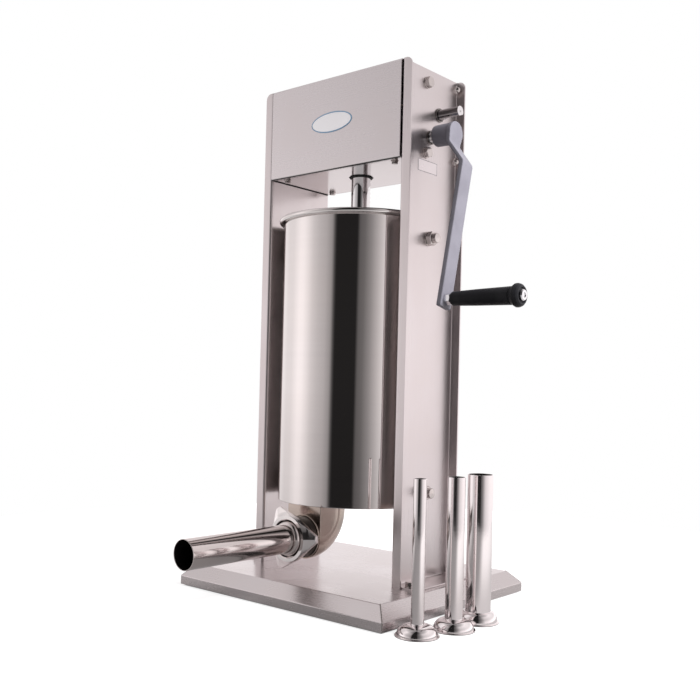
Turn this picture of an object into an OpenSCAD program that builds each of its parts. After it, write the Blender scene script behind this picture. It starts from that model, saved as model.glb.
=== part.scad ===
// Vertical two-speed sausage stuffer, millimetres, Z up.
// Origin: on the cylinder's axis, in the plane that the feet stand on. The nozzle points to -Y
// and the crank stands on the +X side.

/* [Base] */
// Height of the base plateau above the floor
base_top = 30.5; // [24:0.5:40]
// Margin of the plateau past the posts' feet, each side
base_side = 9.4; // [5:0.2:30]
// Margin of the plateau in front of and behind the posts
base_front = 83.3; // [60:0.5:100]
// How far the sloped band falls outwards from the plateau
base_slope = 16; // [8:0.5:30]
// Height of the vertical skirt
skirt_h = 12; // [8:0.5:14]
// Gap between the skirt and the floor
skirt_gap = 2; // [1:0.5:5]
// Sheet thickness of the base
base_t = 2; // [1.5:0.1:3]
// Diameter of a rubber foot
foot_d = 34; // [24:1:40]
// Diameter of the welded stud that holds a foot
foot_stud_d = 6; // [4:0.5:8]
// Distance of a foot's centre from the plateau's edges
foot_inset = 24; // [21:0.5:36]

/* [Posts] */
// Gap between the cylinder and each post
side_gap = 10.7; // [9.5:0.1:14]
// Depth of a post, front to back
post_d = 127; // [122:0.5:140]
// Sheet thickness of a post
post_t = 2.2; // [1.5:0.1:3]
// Width of a post's folded flange
flange_w = 15.3; // [12:0.1:22]
// Radius of a flange's top corner
flange_r = 9; // [3:0.5:12]
// Length of a post's folded foot
tab_l = 40; // [32:0.5:50]
// Distance of a post's base bolts from its front and back edges
base_bolt_edge = 13.5; // [12:0.5:24]
// Length of a base bolt's shank
base_bolt_l = 18; // [14:0.5:24]

/* [Head] */
// Free height between the cylinder's rim and the head, for filling
load_gap = 65.3; // [62:0.1:90]
// Height of the head
head_h = 130.5; // [130:0.5:145]
// Thickness of the head's bottom plate
head_plate_t = 4; // [3:0.5:6]
// Distance of the head plate's bolts from the posts' front and back edges
head_bolt_edge = 13.5; // [13:0.5:20]
// Length of the shanks of the head plate's bolts and the side bolts
head_bolt_l = 16; // [14:0.5:20]
// Sheet thickness of the head's covers
cover_t = 1.5; // [1:0.1:2]
// Gap between a cover and the posts
cover_gap = 0.9; // [0.5:0.1:1.5]
// How far the front cover stands proud of the posts
cover_proud = 2; // [1.8:0.1:4]
// Depth of the covers' folded side lips
cover_lip = 14; // [13:0.5:18]
// Thickness of the head's angle brackets
bracket_t = 3; // [2:0.5:4]
// Width of the channel that ties the posts at the top
channel_w = 70; // [60:1:76]
// Height of the channel that ties the posts at the top
channel_h = 18; // [17:0.5:20]
// Distance of the side bolts in front of the cylinder's axis
side_bolt_y = 10; // [4:0.5:16]

/* [Cylinder] */
// Outside diameter of the cylinder
cyl_od = 219; // [200:1:240]
// Wall thickness of the cylinder
cyl_t = 1.5; // [1:0.1:2]
// Length of the cylinder, floor to rim
cyl_len = 401.7; // [300:0.5:450]
// Height of the cylinder's floor above the base
cyl_lift = 98.5; // [95:0.5:120]
// Thickness of the cylinder's floor
floor_t = 2; // [1.5:0.1:3]
// Radius of the rolled bead at the rim
bead_r = 4; // [3:0.1:4.5]
// Sheet thickness of the rolled bead
bead_t = 1.4; // [1:0.1:1.8]
// Height of the collar below the bead
rim_h = 10.5; // [9:0.5:16]
// Distance of the upper support pins below the rim
pin_drop = 34.7; // [24:0.1:60]
// Distance of the lower support pins above the cylinder's floor
pin_rise = 21; // [17:0.5:40]
// Diameter of a support pin inside the posts
pin_d = 12; // [10.5:0.5:13]
// Clearance of a hook around its pin
hook_gap = 0.3; // [0.2:0.1:0.8]
// Metal around a hook's slot
hook_wall = 9; // [6:0.5:12]

/* [Spout] */
// Distance of the outlet in front of the cylinder's axis
outlet_y = 66; // [60:0.5:70]
// Bend radius of the elbow's centre line
elbow_r = 34; // [32:0.5:40]
// Outside diameter of the elbow
elbow_od = 61; // [58:0.5:62]
// Wall thickness of the elbow
elbow_t = 2; // [1.5:0.1:2.8]
// Straight neck above the bend
neck_l = 8; // [4:0.5:14]
// Straight end in front of the bend
elbow_end = 4; // [2:0.5:8]
// Outside diameter of the spout's thread
thread_d = 54; // [53:0.2:54.5]
// Length of the spout's thread
thread_l = 22; // [18:0.5:28]
// Pitch of the spout's thread
pitch = 3; // [2:0.5:4]
// Inside diameter of the spout
spout_id = 47; // [44:0.5:48]

/* [Nozzle nut] */
// Distance from the nut's axis to its long sides
nut_side = 31.5; // [30.5:0.1:33]
// Distance from the nut's axis to its lobe tips
nut_reach = 46.5; // [43:0.5:50]
// Thickness of the nut
nut_t = 20; // [17:0.5:22]
// Clearance between the nut's thread and the spout's
thread_gap = 0.3; // [0.2:0.05:0.4]
// Diameter of the hole that the nozzle passes through
nut_hole_d = 50.6; // [50:0.1:51]

/* [Nozzles] */
// Diameter of every nozzle's flange
nozzle_flange_d = 53.4; // [52.4:0.1:53.4]
// Thickness of every nozzle's flange
nozzle_flange_t = 1.6; // [1:0.1:2]
// Overall length of every nozzle
nozzle_len = 185; // [150:1:220]
// Wall thickness of every nozzle
nozzle_t = 1; // [0.8:0.1:1.5]
// Diameter of the dome where it meets the flange
dome_d = 49; // [46:0.5:49.5]
// Outside diameter of the mounted nozzle
nozzle_d1 = 38; // [34:0.5:40]
// Outside diameter of the narrow spare nozzle
nozzle_d2 = 16; // [14:0.5:18]
// Outside diameter of the middle spare nozzle
nozzle_d3 = 22; // [20:0.5:26]
// Outside diameter of the wide spare nozzle
nozzle_d4 = 32; // [28:0.5:34]
// Gap between the base and the first spare nozzle
spare_gap = 4.6; // [3:0.1:30]
// Distance of the first spare nozzle in front of the cylinder's axis
spare_front = 136; // [110:1:150]
// Front-to-back distance between the spare nozzles
spare_pitch = 54; // [54:0.5:70]
// How far the other spare nozzles stand further out than the first
spare_stagger = 15; // [12:0.5:30]

/* [Gearing] */
// Gear module
gear_m = 2; // [2:0.05:2.1]
// Teeth of the slow shaft's pinion
slow_teeth = 12; // [12:1:13]
// Teeth of the fast shaft's gear
fast_teeth = 28; // [27:1:28]
// Teeth of the pinion that drives the rack
rack_teeth = 12; // [12:1:12]
// Play between meshing teeth
tooth_play = 0.2; // [0.1:0.05:0.4]
// Face width of the fast shaft's gear
gear_w = 10; // [8:0.5:12]
// Face width of the slow shaft's pinion
slow_w = 14; // [12:0.5:16]
// Face width of the pinion that drives the rack
rack_w = 28; // [24:0.5:32]
// Diameter of both shafts
shaft_d = 14; // [12:0.5:14.5]
// Radial clearance of a shaft in its bush and of the crank on a shaft
run_gap = 0.05; // [0.02:0.01:0.1]
// Wall of a bush
bush_t = 1.25; // [1:0.05:1.6]
// Height of the fast shaft above the head's bottom
fast_rise = 74; // [72:0.5:74.5]
// Free end of the fast shaft past the post
fast_out = 35.2; // [28:0.2:38]
// Length of the flat on the fast shaft's end
fast_flat_l = 26; // [20:0.5:28]
// Length of the hub of the fast shaft's gear
gear_hub_l = 12; // [8:0.5:14]
// Wall of the hub of the fast shaft's gear
gear_hub_t = 6; // [4:0.5:8]
// Length of a gear plate's screw
plate_screw_l = 6.8; // [6:0.1:7]
// How far a gear plate reaches in front of the slow shaft
plate_fore = 35; // [30:0.5:38]
// How far a gear plate reaches behind the fast shaft
plate_aft = 26; // [20:0.5:28]
// Width of a gear plate's folded foot
plate_foot = 18; // [16:0.5:20]
// Gap between the two gear plates
plate_gap = 52; // [50:0.5:56]
// Thickness of a gear plate
plate_t = 5; // [4:0.5:6]

/* [Crank] */
// Angle at which the crank hangs, towards the nozzle
crank_turn = 13; // [0:1:45]
// Distance of the hub past the post
hub_off = 10.1; // [8:0.1:14]
// Length of the hub
hub_l = 32.5; // [30:0.5:36]
// Diameter of the hub
hub_d = 29; // [26:0.5:32]
// Depth of the hub's bore
hub_bore_l = 27.5; // [22:0.5:28]
// How far the lower arm stands out past the hub
arm_out = 26.6; // [20:0.2:34]
// Length of the arm's slanted part, along the arm
arm_slant = 45; // [36:1:60]
// Distance from the shaft to the grip
crank_l = 235; // [180:1:260]
// Width of the arm
arm_w = 25; // [20:0.5:28]
// Thickness of the arm
arm_t = 7; // [5:0.5:9]

/* [Grip] */
// Length of the grip
grip_l = 104.4; // [90:0.2:120]
// Diameter of the grip next to the arm
grip_d1 = 18; // [16:0.5:20]
// Diameter of the grip at its outer end
grip_d2 = 22.6; // [20:0.2:26]
// Diameter of the grip's end collar
grip_collar_d = 29.4; // [27:0.2:34]
// Diameter of the grip's spindle
spindle_d = 10; // [8:0.5:12]
// Radial clearance of the grip on its spindle
grip_gap = 0.08; // [0.05:0.01:0.1]
// Thickness of the grip's locknut
locknut_t = 4; // [3:0.5:6]

/* [Piston] */
// Diameter of the piston rod
rod_d = 28; // [27:0.5:30]
// Distance from the rod's axis to the rack's pitch line
rack_y = 7; // [6.5:0.1:7.5]
// Radial clearance of the rod in its guides
rod_gap = 0.05; // [0.02:0.01:0.1]
// Gap between the lowered piston and the cylinder's floor
piston_gap = 2; // [1:0.5:6]
// How far the raised piston stands above the rim
piston_clear = 7; // [4:0.5:12]
// Thickness of the piston plate
piston_t = 12; // [11:0.5:16]
// Radial clearance of the gasket in the cylinder
gasket_gap = 0.3; // [0.2:0.05:0.5]
// Radial width of the gasket
gasket_w = 3.7; // [3:0.1:6]
// Height of the gasket's lip above the plate
gasket_lip = 4; // [2:0.5:6]
// Diameter of the piston's hub
boss_d = 50; // [42:1:60]
// Height of the piston's hub
boss_h = 18; // [12:0.5:20]
// Distance of the air valve from the rod's axis
valve_off = 62; // [50:0.5:80]
// Travel of the air valve
valve_travel = 2.9; // [2:0.1:3]

/* [Hidden] */
$fn = 96;
tiny = 0.01;
// posts and base
web_in = cyl_od / 2 + side_gap;
web_out = web_in + post_t;
plateau_x = web_in + tab_l + base_side;
plateau_y = post_d / 2 + base_front;
tab_top = base_top + post_t;
bolt_x = web_in + tab_l * 0.57;
foot_h = base_top - base_t;
// cylinder and head heights
cyl_low = base_top + cyl_lift;
cyl_high = cyl_low + cyl_len;
cyl_in = cyl_od / 2 - cyl_t;
floor_top = cyl_low + floor_t;
head_low = cyl_high + load_gap;
head_floor = head_low + head_plate_t;
post_top = head_low + head_h;
pin_high_z = cyl_high - pin_drop;
pin_low_z = cyl_low + pin_rise;
// screw sizes: shank diameter, head across flats, head height
M4 = [4, 7.6, 2.2];
M6 = [6, 10, 4];
M8 = [8, 13, 5.3];
M10 = [10, 17, 8];
hole_gap = 0.3;
washer_t = 1.6;
// head
cover_x = web_in - cover_gap;
lip_low = head_floor + hole_gap;
head_bolt_x = web_in - 20;
head_bolt_y = post_d / 2 - head_bolt_edge;
base_bolt_y = post_d / 2 - base_bolt_edge;
foot_bolt_edge = 17;
bracket_h = 22;
bracket_y = 40;
channel_top = post_top - 6.5;
channel_low = channel_top - channel_h;
channel_back = channel_w / 2 - 5;
upper_bolt_z = post_top - 18.5;
lower_bolt_z = head_low + 16;
stud_y = post_d / 2 - 8;
stud_high_z = post_top - 12.5;
cover_screw_x = 60;
cover_screw_l = 8;
cover_screw_z = post_top - 10;
// gearing: the fast shaft stands behind the rod, the slow one below it
rack_r = gear_m * rack_teeth / 2;
fast_y = rack_y + rack_r;
fast_z = head_low + fast_rise;
centre_d = gear_m * (slow_teeth + fast_teeth) / 2;
slow_z = fast_z - sqrt(centre_d * centre_d - fast_y * fast_y);
mesh_angle = atan2(fast_z - slow_z, fast_y);
pressure = 25;
tip_m = 0.8;
root_m = 1.1;
gear_x = 40;
shaft_r = shaft_d / 2;
bush_r = shaft_r + run_gap + bush_t;
bush_flange_r = bush_r + 1.2;
bush_flange_t = 2;
plate_in = plate_gap / 2;
plate_out = plate_in + plate_t;
plate_back = fast_y + plate_aft;
plate_screw_edge = 10;
foot_t = 4;
bearing_in = web_in - 8;
ring_t = 1.4;
groove_x = web_out + bush_flange_t + 1.2;
flat_cut = 1.5;
// crank
hub_x = web_out + hub_off;
hub_face = hub_x + hub_l;
arm_x = hub_face + arm_out;
grip_x = arm_x + locknut_t + 0.4;
grip_end = grip_x + grip_l;
// spout: distances are counted along -Y from the cylinder's axis
spout_z = cyl_low - neck_l - elbow_r;
bend_y = outlet_y + elbow_r;
thread_y = bend_y + elbow_end;
seat_y = thread_y + thread_l;
nut_front = seat_y + 11;
nut_back = nut_front - nut_t;
nut_bore_r = thread_d / 2 + thread_gap;
dome_h = 14;
spare_x = plateau_x + base_slope + spare_gap + nozzle_flange_d / 2;
// piston
rod_r = rod_d / 2;
piston_low = floor_top + piston_gap;
piston_top = piston_low + piston_t;
stroke = cyl_high + piston_clear - piston_low;
rod_top = post_top - 3;
rod_low = piston_low + 10;
rod_screw_d = 12;
screw_recess_r = 11.5;
screw_recess_h = 8.5;
rack_low = fast_z - stroke - rack_r - 10;
plate_r = cyl_in - gasket_gap - gasket_w;
guide_r = rod_r + rod_gap + 3.85;
// air valve
valve_seat = piston_low + 5;
valve_head_r = 8;
valve_stem_r = 3;
valve_body_r = 9.5;
valve_body_h = 13;
valve_cap = piston_top + valve_body_h - 3;
valve_collar = piston_top + 0.1;

// Solids along an axis: local Z becomes +X or -Y.
module along_x() {
    rotate([90, 0, 90]) children();
}
module along_front() {
    rotate([90, 0, 0]) children();
}
module each_side() {
    for (side = [0, 1]) mirror([side, 0, 0]) children();
}
module each_corner(x, y) {
    for (sx = [-1, 1], sy = [-1, 1]) translate([sx * x, sy * y, 0]) children();
}
module ring(outer, inner, h) {
    difference() {
        cylinder(r = outer, h = h);
        translate([0, 0, -1]) cylinder(r = inner, h = h + 2);
    }
}
module hex(across, h) {
    rotate(30) cylinder(r = across / sqrt(3), h = h, $fn = 6);
}
// A hexagon bolt: its head stands on z = 0 and its shank runs down.
module hex_bolt(size, shank) {
    intersection() {
        hex(size[1], size[2]);
        cylinder(r1 = size[1] / sqrt(3) + size[2], r2 = size[1] / 2 - 0.2, h = size[2] + 0.01);
    }
    translate([0, 0, -shank]) cylinder(d = size[0], h = shank + tiny);
}
module hex_nut(size, h) {
    difference() {
        intersection() {
            hex(size[1], h);
            cylinder(r1 = size[1] / sqrt(3) + h, r2 = size[1] / 2 - 0.2, h = h + 0.01);
        }
        translate([0, 0, -1]) cylinder(d = size[0], h = h + 2);
    }
}
module box(x0, x1, y0, y1, z0, z1) {
    translate([x0, y0, z0]) cube([x1 - x0, y1 - y0, z1 - z0]);
}
// A hole through a post's web at height z and depth y.
module web_hole(y, z, r) {
    translate([bearing_in - 1, y, z]) along_x() cylinder(r = r, h = web_out - bearing_in + 2);
}

// Base
module tray_form(inset, low) {
    hull() {
        translate([0, 0, low])
            linear_extrude(skirt_gap + skirt_h - inset / 3 - low)
                square([2 * (plateau_x + base_slope - inset), 2 * (plateau_y + base_slope - inset)],
                    center = true);
        translate([0, 0, base_top - inset - tiny])
            linear_extrude(tiny)
                square([2 * (plateau_x - inset / 3), 2 * (plateau_y - inset / 3)], center = true);
    }
}
module foot_places() {
    each_corner(plateau_x - foot_inset, plateau_y - foot_inset) children();
}
module base_tray() {
    color("silver") difference() {
        tray_form(0, skirt_gap);
        tray_form(base_t, -1);
        each_corner(bolt_x, base_bolt_y)
            cylinder(d = M8[0] + hole_gap, h = base_top + 1);
    }
}
module base_feet() {
    color("#222222") foot_places() difference() {
        cylinder(d1 = foot_d, d2 = foot_d - 5, h = foot_h);
        translate([0, 0, foot_h / 2]) cylinder(d = foot_stud_d, h = foot_h);
    }
}
module foot_studs() {
    color("gray") foot_places()
        translate([0, 0, foot_h / 2]) cylinder(d = foot_stud_d, h = foot_h / 2);
}
module base_bolts() {
    color("lightgray") each_corner(bolt_x, base_bolt_y)
        translate([0, 0, tab_top + washer_t]) hex_bolt(M8, base_bolt_l);
}
module base_washers() {
    color("silver") each_corner(bolt_x, base_bolt_y)
        translate([0, 0, tab_top]) ring(8, (M8[0] + hole_gap) / 2, washer_t);
}
module base_nuts() {
    color("lightgray") each_corner(bolt_x, base_bolt_y)
        translate([0, 0, foot_h]) mirror([0, 0, 1]) hex_nut(M8, 6.5);
}

// Posts: a channel with its web inwards, flanges with rounded tops, and a folded foot.
module channel_section() {
    fold_r = post_t + 1.3;
    difference() {
        translate([web_in, -post_d / 2]) square([flange_w, post_d]);
        translate([web_out, -post_d / 2 + post_t]) square([flange_w, post_d - 2 * post_t]);
        for (side = [-1, 1]) translate([web_in, side * post_d / 2]) difference() {
            square(2 * fold_r, center = true);
            translate([fold_r, -side * fold_r]) circle(r = fold_r);
            translate([fold_r, -side * fold_r]) square([2 * fold_r, 8 * fold_r], center = true);
            translate([fold_r, -side * fold_r]) translate([-fold_r, 0])
                mirror([0, side > 0 ? 1 : 0]) square([8 * fold_r, 2 * fold_r]);
        }
    }
}
module post() {
    edge = web_in + flange_w;
    difference() {
        union() {
            translate([0, 0, base_top]) linear_extrude(post_top - base_top) channel_section();
            box(web_in + 1, web_in + tab_l, -post_d / 2 + post_t, post_d / 2 - post_t,
                base_top, tab_top);
        }
        // rounded top corners of the flanges
        translate([edge - flange_r, post_d / 2 + 1, post_top - flange_r]) along_front()
            difference() {
                cube([flange_r + 1, flange_r + 1, post_d + 2]);
                translate([0, 0, -1]) cylinder(r = flange_r, h = post_d + 4);
            }
        for (y = [-base_bolt_y, base_bolt_y])
            translate([bolt_x, y, 0]) cylinder(d = M8[0] + hole_gap, h = tab_top + 1);
        web_hole(-side_bolt_y, upper_bolt_z, (M8[0] + hole_gap) / 2);
        web_hole(-side_bolt_y, lower_bolt_z, (M8[0] + hole_gap) / 2);
        web_hole(stud_y, stud_high_z, (M6[0] + hole_gap) / 2);
        web_hole(stud_y, lower_bolt_z, (M6[0] + hole_gap) / 2);
        web_hole(0, pin_high_z, M10[0] / 2);
        web_hole(0, pin_low_z, M10[0] / 2);
    }
}
module left_post() {
    color("#cfc9c8") mirror([1, 0, 0]) post();
}
module right_post() {
    color("#cfc9c8") difference() {
        post();
        web_hole(0, slow_z, bush_r);
        web_hole(fast_y, fast_z, bush_r);
    }
}

// Head
module head_plate() {
    color("#c9c4c2") difference() {
        box(-web_in + hole_gap, web_in - hole_gap, -post_d / 2 + 6, post_d / 2 - 2.3,
            head_low, head_floor);
        translate([0, 0, head_low - 1]) cylinder(r = guide_r, h = head_plate_t + 2);
        each_corner(head_bolt_x, head_bolt_y)
            translate([0, 0, head_low - 1]) cylinder(d = M8[0] + hole_gap, h = head_plate_t + 2);
        plate_screw_places() translate([0, 0, head_low + 1]) cylinder(d = M6[0], h = 10);
    }
}
module head_bolts() {
    color("lightgray") each_corner(head_bolt_x, head_bolt_y)
        translate([0, 0, head_low]) mirror([0, 0, 1]) hex_bolt(M8, head_bolt_l);
}
module head_nuts() {
    color("lightgray") each_corner(head_bolt_x, head_bolt_y)
        translate([0, 0, head_floor + bracket_t]) hex_nut(M8, 6.5);
}
// Angles that carry the plate: one leg on the plate, the other bolted to the post.
module head_brackets() {
    color("gray") each_side() difference() {
        union() {
            box(head_bolt_x - 20, web_in - 3.2, -post_d / 2 + 7, post_d / 2 - 7,
                head_floor, head_floor + bracket_t);
            box(web_in - bracket_t, web_in, -bracket_y, bracket_y, head_floor,
                head_floor + bracket_h);
            box(web_in - 3.3, web_in - bracket_t, -bracket_y, bracket_y, head_floor,
                head_floor + bracket_t);
        }
        for (y = [-head_bolt_y, head_bolt_y]) translate([head_bolt_x, y, head_low])
            cylinder(d = M8[0] + hole_gap, h = 20);
        translate([0, -side_bolt_y, lower_bolt_z]) along_x() cylinder(d = M8[0] + hole_gap, h = 200);
    }
}
// An inverted channel between the posts' tops; it also carries the rod's upper guide.
module top_channel() {
    front = channel_back - channel_w;
    color("gray") difference() {
        box(-web_in, web_in, front, channel_back, channel_low, channel_top);
        box(-web_in + bracket_t, web_in - bracket_t, front + bracket_t, channel_back - bracket_t,
            channel_low - 1, channel_top - bracket_t);
        translate([0, 0, channel_top - 10]) cylinder(r = guide_r, h = 20);
        translate([-200, -side_bolt_y, upper_bolt_z]) along_x()
            cylinder(d = M8[0] + hole_gap, h = 400);
    }
}
module front_cover() {
    front = -post_d / 2 - cover_proud;
    back = post_d / 2 - 2.3 - cover_t;
    rear_lip_x = cover_x - cover_t - 0.5;
    color("#d6d0cd") difference() {
        union() {
            box(-cover_x, cover_x, front, front + cover_t, head_low - 0.3, post_top);
            box(-cover_x, cover_x, front, -post_d / 2 + 5.5, head_low - 0.3, head_low + 1.2);
            box(-cover_x, cover_x, front, back, post_top - cover_t, post_top);
            box(-rear_lip_x, rear_lip_x, back - cover_t, back, post_top - 16, post_top);
            each_side() box(cover_x - cover_t, cover_x, front, front + cover_lip, lip_low,
                post_top - tiny);
        }
        translate([0, 0, post_top - 5]) cylinder(r = rod_r + 3, h = 10);
        for (x = [-cover_screw_x, cover_screw_x]) translate([x, back + 5, cover_screw_z])
            along_front() cylinder(d = M4[0], h = 10);
    }
}
module rear_cover() {
    back = post_d / 2 - 0.5;
    face = post_d / 2 - 2.2;
    color("#cfc9c8") difference() {
        union() {
            box(-cover_x, cover_x, face, back, head_low, post_top);
            each_side() box(cover_x - cover_t, cover_x, back - cover_lip, back, lip_low,
                post_top - cover_t - 0.3);
        }
        for (x = [-cover_screw_x, cover_screw_x]) translate([x, back + 1, cover_screw_z])
            along_front() cylinder(d = M4[0] + hole_gap, h = 10);
    }
}
module cover_screws() {
    back = post_d / 2 - 0.5;
    color("lightgray") for (x = [-cover_screw_x, cover_screw_x])
        translate([x, back, cover_screw_z]) along_front() {
            cylinder(d = M4[0], h = cover_screw_l);
            translate([0, 0, -M4[2]]) difference() {
                cylinder(d1 = M4[1] * 0.72, d2 = M4[1], h = M4[2]);
                translate([0, 0, -1]) cylinder(r = M4[0] * 0.35, h = M4[2], $fn = 6);
            }
        }
}
// Studs welded to the rear cover's lips pass through the posts.
module stud_places() {
    each_side() for (z = [stud_high_z, lower_bolt_z]) translate([cover_x, stud_y, z]) along_x()
        children();
}
module cover_studs() {
    color("gray") stud_places() cylinder(d = M6[0], h = cover_gap + post_t + 7);
}
module cover_dome_nuts() {
    color("lightgray") stud_places() translate([0, 0, cover_gap + post_t]) difference() {
        union() {
            intersection() {
                hex(M6[1], 5);
                cylinder(r1 = 8, r2 = 4.8, h = 5.01);
            }
            translate([0, 0, 4.8]) intersection() {
                sphere(r = 4.5);
                cylinder(r = 5, h = 5);
            }
        }
        translate([0, 0, -1]) cylinder(d = M6[0], h = 8);
    }
}
module side_bolt_places() {
    each_side() for (z = [upper_bolt_z, lower_bolt_z])
        translate([web_out, -side_bolt_y, z]) along_x() children();
}
module side_bolts() {
    color("lightgray") side_bolt_places() translate([0, 0, washer_t]) hex_bolt(M8, head_bolt_l);
}
module side_washers() {
    color("silver") side_bolt_places() ring(8, (M8[0] + hole_gap) / 2, washer_t);
}
module side_nuts() {
    color("lightgray") side_bolt_places()
        translate([0, 0, -post_t - bracket_t]) mirror([0, 0, 1]) hex_nut(M8, 6.5);
}

// Gear frame and bearings
module plate_screw_places() {
    each_side() for (y = [-plate_fore + plate_screw_edge, plate_back - plate_screw_edge])
        translate([plate_out + plate_screw_edge, y, 0]) children();
}
module gear_plates() {
    top = channel_low - 0.3;
    color("#8c8c90") difference() {
        each_side() {
            box(plate_in, plate_out, -plate_fore, plate_back, head_floor, top);
            box(plate_in, plate_out + plate_foot, -plate_fore, plate_back, head_floor,
                head_floor + foot_t);
        }
        plate_screw_places() translate([0, 0, head_floor - 1]) cylinder(d = M6[0] + hole_gap, h = foot_t + 2);
        translate([-plate_out - 1, fast_y, fast_z]) along_x() cylinder(r = bush_r, h = 100);
        translate([0, 0, slow_z]) along_x() cylinder(r = bush_r, h = 100);
    }
}
module plate_screws() {
    color("lightgray") plate_screw_places()
        translate([0, 0, head_floor + foot_t]) hex_bolt(M6, plate_screw_l);
}
module bearing_plate() {
    color("#8c8c90") difference() {
        box(bearing_in, web_in, -14, fast_y + 15, slow_z - 12, fast_z + 13);
        web_hole(0, slow_z, bush_r);
        web_hole(fast_y, fast_z, bush_r);
    }
}
// A flanged bush; the flange stands on z = 0 and the body runs down.
module bush(body) {
    translate([0, 0, -body]) ring(bush_r, shaft_r + run_gap, body + tiny);
    ring(bush_flange_r, shaft_r + run_gap, bush_flange_t);
}
module shaft_bushes() {
    color("#a8894f") {
        for (at = [[0, slow_z], [fast_y, fast_z]]) {
            translate([web_out, at[0], at[1]]) along_x() bush(web_out - bearing_in);
            translate([plate_in, at[0], at[1]]) along_x() mirror([0, 0, 1]) bush(plate_t);
        }
        translate([-plate_in, fast_y, fast_z]) along_x() bush(plate_t);
    }
}
module rod_guides() {
    color("#a8894f") difference() {
        union() {
            translate([0, 0, head_low + 2]) cylinder(r = guide_r, h = 14);
            translate([0, 0, head_floor]) cylinder(r = guide_r + 4, h = 3);
            translate([0, 0, channel_top - 10]) cylinder(r = guide_r, h = 10);
            translate([0, 0, channel_top]) cylinder(r = guide_r + 3, h = 2.5);
        }
        cylinder(r = rod_r + rod_gap, h = post_top);
    }
}
module rod_seal() {
    color("#1a1a1a") difference() {
        union() {
            translate([0, 0, head_low - 1.6]) cylinder(r = rod_r + 2.4, h = 3.6);
            translate([0, 0, head_low]) cylinder(r = guide_r, h = 2);
        }
        cylinder(r = rod_r + 0.3, h = post_top);
    }
}

// Gears: involute teeth as polygons.
function inv_deg(a) = tan(a) * 180 / PI - a;
function tooth_half(r, rb, at_pitch) =
    at_pitch + inv_deg(pressure) - inv_deg(acos(min(1, rb / max(r, rb))));
module gear_shape(teeth, play) {
    rp = gear_m * teeth / 2;
    rb = rp * cos(pressure);
    tip = rp + tip_m * gear_m;
    root = rp - root_m * gear_m;
    start = max(rb, root);
    radii = concat([root], [for (i = [0:4]) start + (tip - start) * i / 4]);
    at_pitch = 90 / teeth - play / 2 / rp * 180 / PI;
    last = len(radii) - 1;
    polygon([for (k = [0:teeth - 1], s = [-1, 1], i = [0:last])
        let (r = radii[s < 0 ? i : last - i],
            a = 360 / teeth * k + s * tooth_half(r, rb, at_pitch))
        [r * cos(a), r * sin(a)]]);
}
module gear(teeth, w, turn) {
    difference() {
        rotate(turn) linear_extrude(w) gear_shape(teeth, tooth_play);
        translate([0, 0, -1]) cylinder(r = shaft_r, h = w + 40);
    }
}
// A round shaft with a flat along the stretch that the crank fits, and a relief groove behind it.
module keyed_shaft(length, flat_l, seat_l) {
    difference() {
        cylinder(r = shaft_r, h = length);
        translate([0, 0, length - seat_l - 1]) ring(shaft_r + 1, shaft_r - 0.5, 1);
        translate([-shaft_d, shaft_r - flat_cut, length - flat_l])
            cube([2 * shaft_d, shaft_d, flat_l + 1]);
        translate([0, 0, length - 1]) cylinder(r1 = 0.4, r2 = 2, h = 1.01);
    }
}
module slow_shaft() {
    end = hub_x + hub_bore_l - 0.5;
    color("#b9b6b4") translate([rod_r + 6, 0, slow_z]) along_x() rotate(180 - crank_turn)
        keyed_shaft(end - rod_r - 6, hub_bore_l, end - groove_x);
}
module slow_pinion() {
    color("#77777c") translate([gear_x - 2, 0, slow_z]) along_x()
        gear(slow_teeth, slow_w, mesh_angle);
}
module slow_ring() {
    color("#333333") translate([plate_in - bush_flange_t - 0.3 - ring_t, 0, slow_z]) along_x()
        ring(shaft_r + 2.2, shaft_r, ring_t);
}
module fast_shaft() {
    color("#b9b6b4") translate([-plate_out - 5, fast_y, fast_z]) along_x() rotate(200)
        keyed_shaft(web_out + fast_out + plate_out + 5, fast_flat_l, web_out + fast_out - groove_x);
}
module fast_gear() {
    color("#77777c") translate([gear_x, fast_y, fast_z]) along_x() {
        gear(fast_teeth, gear_w, mesh_angle + 180 + 180 / fast_teeth);
        translate([0, 0, gear_w]) ring(shaft_r + gear_hub_t, shaft_r, gear_hub_l);
    }
}
module rack_pinion() {
    color("#77777c") translate([-rack_w / 2, fast_y, fast_z]) along_x()
        gear(rack_teeth, rack_w, 180);
}
module fast_rings() {
    color("#333333") for (x = [-plate_out - 0.3 - ring_t, bearing_in - 0.3 - ring_t])
        translate([x, fast_y, fast_z]) along_x() ring(shaft_r + 2.2, shaft_r, ring_t);
}

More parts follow.
